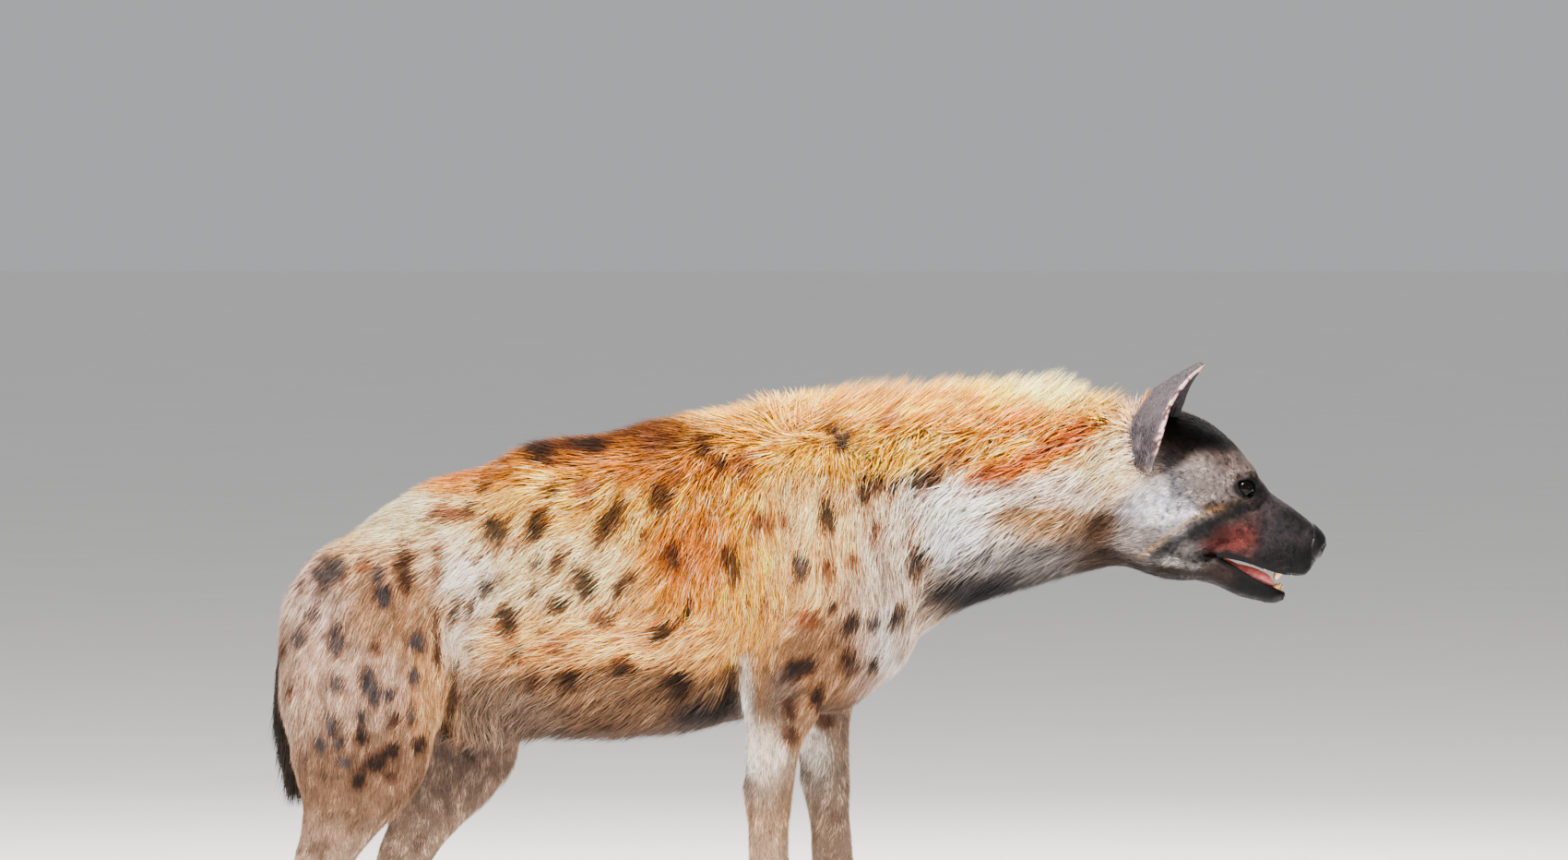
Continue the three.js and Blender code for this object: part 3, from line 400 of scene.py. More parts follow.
# Folds and hollows of the body, as lines in the side view: photo pixels, width and depth in millimetres
BODY_FOLDS = [
    ([(500, 722), (488, 770), (476, 830), (470, 880)], 10, 9),
    ([(505, 660), (500, 722)], 16, 4),
    ([(800, 712), (797, 770), (800, 830)], 11, 9),
    ([(812, 690), (836, 640), (846, 590), (850, 540)], 20, 5),
    ([(1003, 560), (1008, 620), (1000, 676)], 18, 5),
    ([(560, 560), (540, 600), (520, 640)], 28, 4),
    ([(640, 730), (720, 745), (780, 735)], 22, 4),
    ([(1196, 470), (1188, 530), (1186, 590)], 16, 4),
]
BODY_RIDGES = [
    ([(905, 500), (900, 580), (888, 650)], 24, 5),
    ([(430, 600), (425, 680), (415, 740)], 40, 4),
    ([(1040, 470), (1110, 500), (1180, 540)], 24, 3),
]

# The same on the head, in its own frame: u and v
HEAD_FOLDS = [
    ([(141, 36), (118, 28), (96, 14), (74, 0), (50, -12)], 6.5, 3.6),
    ([(146, 45), (152, 58)], 5, 2.2),
    ([(104, 58), (112, 68), (126, 71)], 3.2, 1.6),
    ([(160, 34), (170, 14), (176, -4)], 7, 2.2),
    ([(176, 44), (212, 38)], 6, 1.6),
    ([(128, -8), (118, -28), (108, -44)], 8, 2.6),
    ([(106, 40), (118, 38), (132, 42)], 3, 1.2),
]
HEAD_RIDGES = [
    ([(126, 22), (100, 8), (76, -8), (52, -20)], 8, 2.4),
    ([(60, 60), (96, 50)], 16, 2.5),
    ([(84, -46), (110, -52), (140, -54)], 12, 2.0),
]


def relief(x, z, folds, ridges):
    """How far a surface sinks (positive) or rises at a place in the side view."""
    total = np.zeros(len(x))
    for path, width, depth in folds:
        total += depth * line_nearness(x, z, path, width)
    for path, width, height in ridges:
        total -= height * line_nearness(x, z, path, width)
    return total


def in_pixels(lines):
    """Lines of the side view whose width becomes one in the photo's pixels."""
    return [(path, width * PHOTO_SCALE, depth) for path, width, depth in lines]


FOLD_LINES, RIDGE_LINES = in_pixels(BODY_FOLDS), in_pixels(BODY_RIDGES)


LIP_POINTS = 25


def lip_path(half):
    """A whole lip from one half of it, through points of the head's frame."""
    rows = [(u, -y, v) for u, y, v in half] + [(u, y, v) for u, y, v in half[-2::-1]]
    return catmull(rows, np.linspace(0, 1, LIP_POINTS))


UPPER_LIP_PATH, LOWER_LIP_PATH = lip_path(UPPER_LIP), lip_path(LOWER_LIP)


def lip_distance(h):
    upper = chain(h, UPPER_LIP_PATH, [LIP_RADIUS["upper"]] * len(UPPER_LIP_PATH))
    return np.minimum(upper, chain(h, LOWER_LIP_PATH, [LIP_RADIUS["lower"]] * len(LOWER_LIP_PATH)))


def flews(h):
    """The flesh that carries each lip down from the cheek or up from the jaw."""
    out = []
    for path, part in ((UPPER_LIP_PATH, "upper"), (LOWER_LIP_PATH, "lower")):
        (inward, away), radius = FLEWS[part]
        shift = np.stack([-3 + 0 * path[:, 1], np.sign(path[:, 1]) * inward, away + 0 * path[:, 1]], axis=1)
        out.append(chain(h, path + shift, [radius] * len(path)))
    return np.minimum(*out)


EYE_SLANT = np.array([1.0, 0, -0.08])  # along the eye's corners, in the head's frame


def eye_frame(side):
    """Middle of the eye and its directions in the head's frame: where it looks, its long axis and up."""
    turn, tilt = math.radians(EYE["outward"]), math.radians(EYE["lift"])
    level = math.cos(tilt)
    look = np.array([math.cos(turn) * level, side * math.sin(turn) * level, math.sin(tilt)])
    long_axis = unit(EYE_SLANT - look * (look @ EYE_SLANT))
    up = np.cross(long_axis, look) * side
    up = up if up[2] > 0 else -up
    return np.array([EYE["along"], side * EYE["side"], EYE["up"]], float), look, long_axis, up


LID = {"inner": 12.9, "outer": 15.2, "half_length": 14.8, "upper": 10.8, "lower": 9.0}


def lid_opening(h, side):
    """How far outside the almond between the lids a point lies, seen along the look."""
    centre, look, long_axis, up = eye_frame(side)
    q = h - centre
    along, rise = q @ long_axis, q @ up
    arch = 1 - (along / LID["half_length"]) ** 2
    return np.where(rise > 0, rise - LID["upper"] * arch, -rise - LID["lower"] * arch), q @ look


def lids(h, d):
    """The head's distances with a ball for each eye taken out and a lid laid over it."""
    for side in (-1, 1):
        r = np.linalg.norm(h - eye_frame(side)[0], axis=1)
        d = np.maximum(d, LID["inner"] - r)
        outside, ahead = lid_opening(h, side)
        shell = np.maximum(np.maximum(r - LID["outer"], LID["inner"] - r), -outside * 0.8)
        shell = np.maximum(shell, 1 - ahead)
        d = blend(d, shell, 3)
        opened = np.maximum(outside, 4 - ahead)
        d = np.maximum(d, -np.maximum(opened, r - LID["outer"] - 9))
    return d


NOSE_TILT = 0.12  # radians, against the head's axis
NOSE_MIDDLE = (246, 47)
NOSE_HALF = (34, 31)


def nose_region(h):
    """Negative in the front of the muzzle that the nose pad takes up."""
    c, s = math.cos(NOSE_TILT), math.sin(NOSE_TILT)
    du, dv = h[:, 0] - NOSE_MIDDLE[0], h[:, 2] - NOSE_MIDDLE[1]
    along, rise = du * c - dv * s, du * s + dv * c
    swept = 0.6 * np.maximum(np.abs(h[:, 1]) - 8, 0)
    return -blend(along + NOSE_HALF[0] - swept, rise + NOSE_HALF[1], 16)


# Hollows and the cleft of the nose, in the head's frame: paths and radii
NOSTRILS = [
    ([(249, 9, 33), (241, 15, 34), (232, 21, 35)], (3.2, 4.9, 2.6)),
    ([(238, 21, 33), (231, 27, 30), (224, 31, 23)], (2.6, 2.2, 0.8)),
]
CLEFT = ([(252, 0, 30), (246, 0, 16), (238, 0, 2)], (1.2, 1.4, 1.4))


def nostrils(h):
    m = mirrored(h)
    d = np.full(len(h), 1e9)
    for path, radii in NOSTRILS:
        d = np.minimum(d, chain(m, np.array(path, float), radii))
    return d


def nose_surface(p):
    h = to_head(p)
    d = carve(skull_surface(h) - 0.6, -nose_region(h), 7)
    path, radii = CLEFT
    return carve(carve(d, nostrils(h), 1.6), chain(h, np.array(path, float), radii), 2)


def coat_depth(p, h):
    """How far the skin lies below the coat's surface."""
    depth = 8.0 * smoothstep(p[:, 2], 300, 440) + 3.0 * smoothstep(p[:, 2], 60, 160)
    depth = np.where(depth > 8, 8, depth) + 1.4
    front = smoothstep(h[:, 0], -40, 60)
    depth = mix(depth, 2.6, front)
    return mix(depth, 0.9, smoothstep(h[:, 0], 120, 190))


def head_surface(h):
    skull = skull_surface(h)
    jaw = sections(JAW_CURVES, h[:, 0], h[:, 1], h[:, 2], 2.0)
    bent = relief(h[:, 0], h[:, 2], HEAD_FOLDS, HEAD_RIDGES) * smoothstep(np.abs(h[:, 1]), 8, 26)
    return skull + bent, jaw + bent * 0.6


# Flesh at the root of each ear, and the fold of skin from the belly to the thigh
EAR_ROOT = [(382, 58, 712), (386, 63, 746), (402, 70, 784)]
EAR_ROOT_RADII = [24, 15, 6]
STIFLE_FOLD = ((-400, 58, 402), (74, 32, 36))


def neck_and_head(p, h):
    skull, jaw = head_surface(h)
    d = blend(trunk_surface(p), skull, 26)
    d = blend(d, np.where(h[:, 0] < 20, 60, jaw), 14 - 8 * smoothstep(h[:, 0], 110, 140))
    return blend(d, chain(mirrored(p), np.array(EAR_ROOT, float), EAR_ROOT_RADII), 20)


def folded(p, moved, share=1):
    """How far the body's folds and its soft lumps move the sides in."""
    x, y = to_photo(moved)
    side = smoothstep(np.abs(p[:, 1]), 20, 70) * share
    return side * (relief(x, y, FOLD_LINES, RIDGE_LINES) + 1.2 * noise(p, 34, 5))


def body_skin(p):
    h = to_head(p)
    d = blend(neck_and_head(p, h), ellipsoid(mirrored(p), *STIFLE_FOLD), 34)
    for name in LEGS:
        d = blend(d, leg_surface(p, name), 30)
    d = d + folded(p, as_right(p)) + coat_depth(p, h)
    return np.maximum(d, 1.0 - p[:, 2])


def mouth_hollow(h):
    """Distance from the two hollows inside the mouth."""
    return np.minimum(ellipsoid(h, *MOUTH_ROOF), ellipsoid(h, *MOUTH_BED))


def head_skin(p):
    h = to_head(p)
    neck = 1 - smoothstep(p[:, 0], HEAD_CUT, HEAD_CUT + 60)
    d = neck_and_head(p, h) + folded(p, p, neck) + coat_depth(p, h)
    d = blend(d, flews(h), 12)
    gap = chain(h * np.array([1, 0, 1]), np.array(MOUTH_GAP, float), GAP_RADII)
    d = blend(carve(d, gap, 3), lip_distance(h), 4)
    for hollow in (MOUTH_ROOF, MOUTH_BED):
        d = carve(d, ellipsoid(h, *hollow), 3)
    return np.maximum(lids(h, d), -(nose_region(h) + 2.5))


def as_right(p):
    """A point of the left legs moved back to the place of the right ones, which stand elsewhere."""
    moved = p.copy()
    for kind, ahead in (("foreleg", 1), ("hindleg", -1)):
        shift = LEG_CURVES[kind + "_left"][1](p[:, 2]) - LEG_CURVES[kind + "_right"][1](p[:, 2])
        near = smoothstep(ahead * (p[:, 0] + 240), 0, 60) * smoothstep(p[:, 1], 10, 50)
        moved[:, 0] -= shift * near * (1 - smoothstep(p[:, 2], 430, 600))
    return moved


# Skin meshes from the distances

BLOCK = 4  # grid steps along a block, which is first looked at as a whole
BATCH = 200000


def grid_values(field, low, blocks, step):
    """The field on a grid. In blocks far from the surface only its sign is kept."""
    axes = [low[a] + step * BLOCK * np.arange(blocks[a] + 1) for a in range(3)]
    corners = np.stack(np.meshgrid(*axes, indexing="ij"), axis=-1).reshape(-1, 3)
    rough = field(corners).reshape([n + 1 for n in blocks])
    around = [rough[i:blocks[0] + i, j:blocks[1] + j, k:blocks[2] + k]
              for i in (0, 1) for j in (0, 1) for k in (0, 1)]
    near = np.min(np.abs(around), axis=0) < BLOCK * step * 0.95 + 8
    fine, values = (part.repeat(BLOCK, 0).repeat(BLOCK, 1).repeat(BLOCK, 2) for part in (near, around[0]))
    points = low + step * np.argwhere(fine)
    values[fine] = np.concatenate([field(points[n:n + BATCH]) for n in range(0, len(points), BATCH)])
    return values


CUBE_EDGES = [(a, b) for a in range(8) for b in range(8) if a < b and bin(a ^ b).count("1") == 1]
CUBE_CORNERS = np.array([[n & 1, n >> 1 & 1, n >> 2 & 1] for n in range(8)])


def surface_nets(values, low, step):
    """Four-sided faces over the zero level of a grid of distances."""
    inside = values < 0
    size = np.array(values.shape) - 1
    count = np.zeros(size, int)
    for i, j, k in CUBE_CORNERS:
        count += inside[i:size[0] + i, j:size[1] + j, k:size[2] + k]
    active = (count > 0) & (count < 8)
    cells = np.argwhere(active)
    at_corner = [values[tuple((cells + corner).T)] for corner in CUBE_CORNERS]
    total, number = np.zeros((len(cells), 3)), np.zeros(len(cells))
    for a, b in CUBE_EDGES:
        crossing = (at_corner[a] < 0) != (at_corner[b] < 0)
        gap = np.where(crossing, at_corner[a] - at_corner[b], 1.0)
        share = np.where(crossing, at_corner[a] / gap, 0.0)
        place = CUBE_CORNERS[a] + share[:, None] * (CUBE_CORNERS[b] - CUBE_CORNERS[a])
        total += place * crossing[:, None]
        number += crossing
    points = low + step * (cells + total / number[:, None])
    label = np.full(size, -1)
    label[active] = np.arange(len(cells))
    quads = []
    for axis in range(3):
        b, c = (axis + 1) % 3, (axis + 2) % 3
        step_one = np.eye(3, dtype=int)
        first = inside.take(range(size[axis]), axis)
        second = inside.take(range(1, size[axis] + 1), axis)
        edge = np.argwhere(first != second)
        keep = (edge[:, b] > 0) & (edge[:, b] < size[b]) & (edge[:, c] > 0) & (edge[:, c] < size[c])
        edge = edge[keep]
        around = [edge - step_one[b] - step_one[c], edge - step_one[c], edge, edge - step_one[b]]
        quad = np.stack([label[tuple(cell.T)] for cell in around], axis=1)
        outward = first[tuple(edge.T)]
        quads.append(np.where(outward[:, None], quad, quad[:, ::-1]))
    return points, np.concatenate(quads)


def halved(quads):
    """Each four-sided face as two three-sided ones."""
    return np.vstack([quads[:, [0, 1, 2]], quads[:, [0, 2, 3]]])


def face_normals(points, faces):
    """Across each three-sided face, as long as twice its area."""
    corner = points[faces]
    return np.cross(corner[:, 1] - corner[:, 0], corner[:, 2] - corner[:, 0])


def gradient(field, points, here):
    """How fast a field, which is here at the points, grows along each axis."""
    reach = 0.5
    return np.stack([(field(points + reach * axis) - here) / reach for axis in np.eye(3)], axis=1)


def open_edges(quads):
    """The points on the open border of a mesh of quads."""
    pairs = np.concatenate([quads[:, [n, (n + 1) % 4]] for n in range(4)])
    key = np.sort(pairs, axis=1)
    found, counts = np.unique(key, axis=0, return_counts=True)
    return np.unique(found[counts == 1])


def settle(points, quads, field, step):
    """Evens out a mesh and lays it on the zero level, in two rounds."""
    held = open_edges(quads)
    heads = quads.ravel()
    tails = np.roll(quads, 1, axis=1).ravel()
    both = np.concatenate([heads, tails]), np.concatenate([tails, heads])
    number = np.bincount(both[0], minlength=len(points))
    for _ in range(2):
        total = [np.bincount(both[0], points[both[1], a], len(points)) for a in range(3)]
        mean = np.stack(total, axis=1)
        moved = mix(points, mean / number[:, None], 0.5)
        moved[held] = points[held]
        here = field(moved)
        slope = gradient(field, moved, here)
        size = np.maximum((slope ** 2).sum(1), 0.2)
        push = slope * (here / size)[:, None]
        length = np.linalg.norm(push, axis=1, keepdims=True)
        points = moved - push * np.minimum(1, 0.6 * step / np.maximum(length, 1e-9))
    return points


def skin_mesh(field, low, high, step):
    """Points and four-sided faces of a field's zero level inside a box."""
    low, high = np.array(low, float), np.array(high, float)
    blocks = [math.ceil(int((high[a] - low[a]) / step) / BLOCK) for a in range(3)]
    points, quads = surface_nets(grid_values(field, low, blocks, step), low, step)
    return settle(points, quads, field, step), quads


def largest_part(points, quads):
    """Only the biggest connected part of a mesh."""
    parent = np.arange(len(points))
    while True:
        lowest = parent[quads].min(axis=1)
        updated = parent.copy()
        for n in range(4):
            np.minimum.at(updated, quads[:, n], lowest)
        updated = updated[updated]
        if (updated == parent).all():
            break
        parent = updated
    best = np.bincount(parent[quads[:, 0]]).argmax()
    keep = parent == best
    renumber = np.cumsum(keep) - 1
    return points[keep], renumber[quads[keep[quads[:, 0]]]]


def bridge(points, rear, front):
    """Three-sided faces between two rings of points round the neck."""
    middle = points[rear].mean(0)

    def ordered(ring):
        angle = np.arctan2(points[ring, 1], points[ring, 2] - middle[2])
        order = np.argsort(angle)
        ring, angle = ring[order], angle[order]
        return np.append(ring, ring[0]), np.append(angle, angle[0] + 2 * math.pi)

    (a, angle_a), (b, angle_b) = ordered(rear), ordered(front)
    faces, i, j = [], 0, 0
    while i < len(a) - 1 or j < len(b) - 1:
        if j == len(b) - 1 or (i < len(a) - 1 and angle_a[i + 1] < angle_b[j + 1]):
            faces.append((a[i], a[i + 1], b[j]))
            i += 1
        else:
            faces.append((a[i], b[j + 1], b[j]))
            j += 1
    faces = np.array(faces)
    outward = (face_normals(points, faces) * (points[faces].mean(1) - middle)).sum(1) > 0
    return np.where(outward[:, None], faces, faces[:, ::-1])


def whole_skin():
    """One closed skin, with finer faces on the head. Returns points and three-sided faces."""
    body, body_quads = skin_mesh(body_skin, (-672, -192, -7), (HEAD_CUT, 192, 812), SKIN_STEP)
    head_low = body[:, 0].max() + HEAD_STEP * 0.7
    body, body_quads = largest_part(body, body_quads)
    head, head_quads = largest_part(*skin_mesh(head_skin, (head_low, -108, 500), (650, 108, 822), HEAD_STEP))
    points = np.vstack([body, head])
    quads = np.vstack([body_quads, head_quads + len(body)])
    ring = open_edges(quads)
    rear, front = ring[ring < len(body)], ring[ring >= len(body)]
    return points, np.vstack([halved(quads), bridge(points, rear, front)])


def point_normals(points, faces):
    """The mean direction of the faces round each point."""
    normal = face_normals(points, faces)
    total = np.zeros_like(points)
    for n in range(3):
        for axis in range(3):
            total[:, axis] += np.bincount(faces[:, n], normal[:, axis], len(points))
    return unit(total)


# Coat marks, with painted shade and highlights among them: soft patches of colour in the side view. What each
# is, then x, y, half width and half height in photo pixels, and the colour
PATCHES = [
    # Painted highlight, pale cream, on the top of the rump.
    ("top of the rump in painted highlight", 430, 556, 50, 22, (0.90, 0.80, 0.66)),
    ("upper rump", 385, 596, 30, 22, (0.80, 0.66, 0.54)),
    ("rump", 340, 645, 34, 44, (0.74, 0.64, 0.60)),
    ("rear edge of the rump", 300, 740, 20, 90, (0.54, 0.46, 0.42)),
    ("haunch", 425, 655, 54, 44, (0.58, 0.45, 0.36)),
    ("thigh", 380, 740, 60, 50, (0.66, 0.555, 0.50)),
    ("front of the thigh", 468, 740, 22, 60, (0.68, 0.52, 0.40)),
    # The lower thigh is darker coat, with painted shade towards the bottom.
    ("lower thigh", 400, 835, 70, 50, (0.46, 0.36, 0.30)),
    ("dark loin", 500, 512, 50, 18, (0.64, 0.39, 0.20)),
    ("dark ridge", 600, 478, 70, 12, (0.42, 0.26, 0.15)),
    ("back", 700, 470, 60, 18, (0.31, 0.18, 0.095)),
    ("upper back", 700, 508, 80, 20, (0.68, 0.43, 0.22)),
    ("golden back", 840, 462, 80, 26, (0.87, 0.62, 0.26)),
    ("shoulders' ridge", 900, 428, 80, 16, (0.84, 0.59, 0.28)),
    ("withers' side", 930, 490, 60, 26, (0.89, 0.65, 0.31)),
    ("mane", 1050, 424, 70, 16, (0.97, 0.72, 0.24)),
    # Painted highlight on the mane.
    ("mane in painted highlight", 1120, 434, 44, 14, (1.0, 0.86, 0.60)),
    ("front of the mane", 1210, 420, 30, 20, (0.86, 0.55, 0.18)),
    ("below the mane", 1010, 462, 60, 18, (0.91, 0.64, 0.33)),
    ("golden neck", 1120, 466, 60, 12, (0.90, 0.59, 0.24)),
    ("upper flank", 650, 550, 100, 32, (0.87, 0.66, 0.43)),
    ("flank", 600, 610, 90, 34, (0.94, 0.80, 0.64)),
    ("white behind the flank", 512, 620, 30, 26, (0.94, 0.88, 0.83)),
    ("white at the stifle", 500, 690, 18, 24, (0.86, 0.77, 0.70)),
    ("golden flank", 745, 590, 60, 56, (0.74, 0.46, 0.21)),
    ("lower flank", 640, 690, 100, 24, (0.86, 0.64, 0.46)),
    ("flank's edge", 660, 742, 90, 20, (0.46, 0.36, 0.29)),
    ("belly's side", 670, 782, 60, 24, (0.36, 0.28, 0.23)),
    ("grey belly before the thigh", 555, 775, 48, 34, (0.42, 0.355, 0.315)),
    # Painted shade under the chest, behind the elbow.
    ("front belly in painted shade", 760, 770, 40, 22, (0.16, 0.14, 0.14)),
    ("belly", 650, 830, 110, 20, (0.22, 0.18, 0.16)),
    ("behind the shoulder", 815, 620, 30, 60, (0.87, 0.64, 0.41)),
    ("shoulder", 890, 580, 50, 60, (0.90, 0.71, 0.54)),
    ("upper foreleg", 885, 700, 40, 36, (0.50, 0.38, 0.30)),
    ("grey of the foreleg", 850, 742, 20, 30, (0.38, 0.32, 0.29)),
    ("shoulder's front", 955, 620, 34, 60, (0.82, 0.73, 0.67)),
    ("breast", 965, 700, 26, 40, (0.66, 0.60, 0.58)),
    ("white foreleg", 832, 812, 18, 20, (0.80, 0.74, 0.70)),
    ("brown foreleg", 884, 810, 26, 40, (0.50, 0.40, 0.33)),
    ("foreleg's front", 892, 780, 22, 50, (0.56, 0.43, 0.34)),
    ("white throat's side", 1040, 548, 40, 26, (0.98, 0.95, 0.92)),
    ("blue-white breast", 1030, 580, 20, 18, (0.86, 0.87, 0.90)),
    ("tan neck", 1105, 560, 44, 14, (0.60, 0.47, 0.36)),
    ("grey neck", 1140, 528, 40, 16, (0.80, 0.73, 0.69)),
    ("pale neck", 1090, 500, 60, 14, (0.86, 0.63, 0.39)),
    # The next three patches are the throat's own darker grey, deepened by painted shade along the underside
    # of the neck and behind the jaw.
    ("dark throat deepened by painted shade", 1080, 640, 80, 17, (0.21, 0.20, 0.205)),
    ("grey throat at the painted shade's edge", 1085, 604, 64, 13, (0.45, 0.43, 0.43)),
    ("throat behind the jaw", 1190, 604, 24, 14, (0.26, 0.22, 0.20)),
    ("brown neck fold", 1190, 570, 14, 14, (0.33, 0.25, 0.20)),
    ("pale cheek ruff", 1205, 500, 22, 30, (0.86, 0.74, 0.60)),
    ("ear's root", 1236, 478, 14, 26, (0.54, 0.48, 0.49)),
    # The next two patches are the near ear's hard shadow, painted dark over the top of the head.
    ("forehead in the ear's painted shadow", 1310, 464, 28, 20, (0.12, 0.105, 0.11)),
    ("crown in the ear's painted shadow", 1275, 450, 28, 30, (0.12, 0.10, 0.10)),
    ("brow", 1336, 503, 17, 11, (0.33, 0.275, 0.26)),
    ("temple", 1304, 522, 24, 15, (0.415, 0.37, 0.36)),
    ("cheek", 1248, 548, 28, 20, (0.66, 0.66, 0.70)),
    ("lower cheek", 1236, 580, 24, 14, (0.52, 0.48, 0.475)),
    ("below the eye", 1320, 547, 16, 6, (0.37, 0.29, 0.23)),
    ("bridge of the nose", 1378, 540, 16, 12, (0.19, 0.16, 0.165)),
    ("tip of the bridge", 1405, 562, 16, 10, (0.10, 0.085, 0.095)),
    ("side of the muzzle", 1380, 578, 20, 14, (0.15, 0.125, 0.145)),
    ("reddish cheek", 1333, 584, 22, 12, (0.36, 0.15, 0.135)),
    ("upper lip", 1400, 606, 26, 12, (0.03, 0.027, 0.03)),
    ("chin", 1368, 640, 26, 12, (0.02, 0.02, 0.02)),
    ("side of the jaw", 1322, 618, 14, 10, (0.19, 0.13, 0.125)),
    ("pale jaw", 1282, 604, 22, 7, (0.42, 0.40, 0.395)),
    ("under the jaw", 1262, 622, 40, 6, (0.12, 0.08, 0.06)),
]

# Lines of colour, painted shade and highlights among them: photo pixels, half width, colour, strength
STREAKS = [
    ([(1052, 520), (1102, 505), (1123, 496), (1151, 482), (1178, 470)], 14, (0.76, 0.36, 0.09), 0.9),
    ([(1062, 514), (1102, 501), (1123, 492), (1151, 478), (1176, 468)], 6, (0.46, 0.17, 0.045), 0.9),
    ([(1000, 540), (1016, 500), (1040, 482)], 8, (0.46, 0.22, 0.10), 0.7),
    # The next three lines are painted shade under the fold of the cheekbone, from below the eye down the
    # cheek.
    ([(1352, 549), (1340, 553)], 4, (0.10, 0.09, 0.09), 0.8),
    ([(1342, 551), (1320, 562), (1296, 574)], 12, (0.035, 0.035, 0.042), 0.97),
    ([(1302, 571), (1276, 584), (1250, 598)], 11, (0.08, 0.08, 0.09), 0.9),
    ([(1322, 547), (1296, 558), (1272, 572), (1253, 587), (1234, 601)], 2.6, (0.52, 0.38, 0.23), 0.6),
    # Painted shadow of the near ear, running down over the temple.
    ([(1264, 498), (1270, 516), (1273, 534)], 13, (0.17, 0.17, 0.19), 0.8),
    # A faint painted highlight on the crease over the eye.
    ([(1329, 514), (1340, 509), (1352, 510)], 2.2, (0.60, 0.54, 0.50), 0.2),
    ([(1308, 624), (1270, 619), (1228, 612)], 6, (0.10, 0.065, 0.05), 0.85),
    ([(808, 712), (811, 770), (816, 830)], 6, (0.86, 0.82, 0.80), 0.8),
    # The next two lines are painted shade: in the crease before the thigh, and behind the elbow under the
    # chest.
    ([(498, 716), (490, 760), (474, 850)], 8, (0.10, 0.08, 0.075), 0.8),
    ([(792, 722), (790, 780), (794, 840)], 13, (0.05, 0.045, 0.045), 0.9),
    ([(960, 655), (955, 700), (975, 740)], 8, (0.86, 0.83, 0.84), 0.55),
    # Painted shade under the brow, before the eye.
    ([(1363, 520), (1355, 516)], 4, (0.10, 0.08, 0.08), 0.6),
    ([(1197, 560), (1186, 588)], 7, (0.28, 0.20, 0.15), 0.7),
    ([(1328, 598), (1345, 606), (1380, 618), (1410, 616)], 5, (0.05, 0.045, 0.05), 0.9),
]

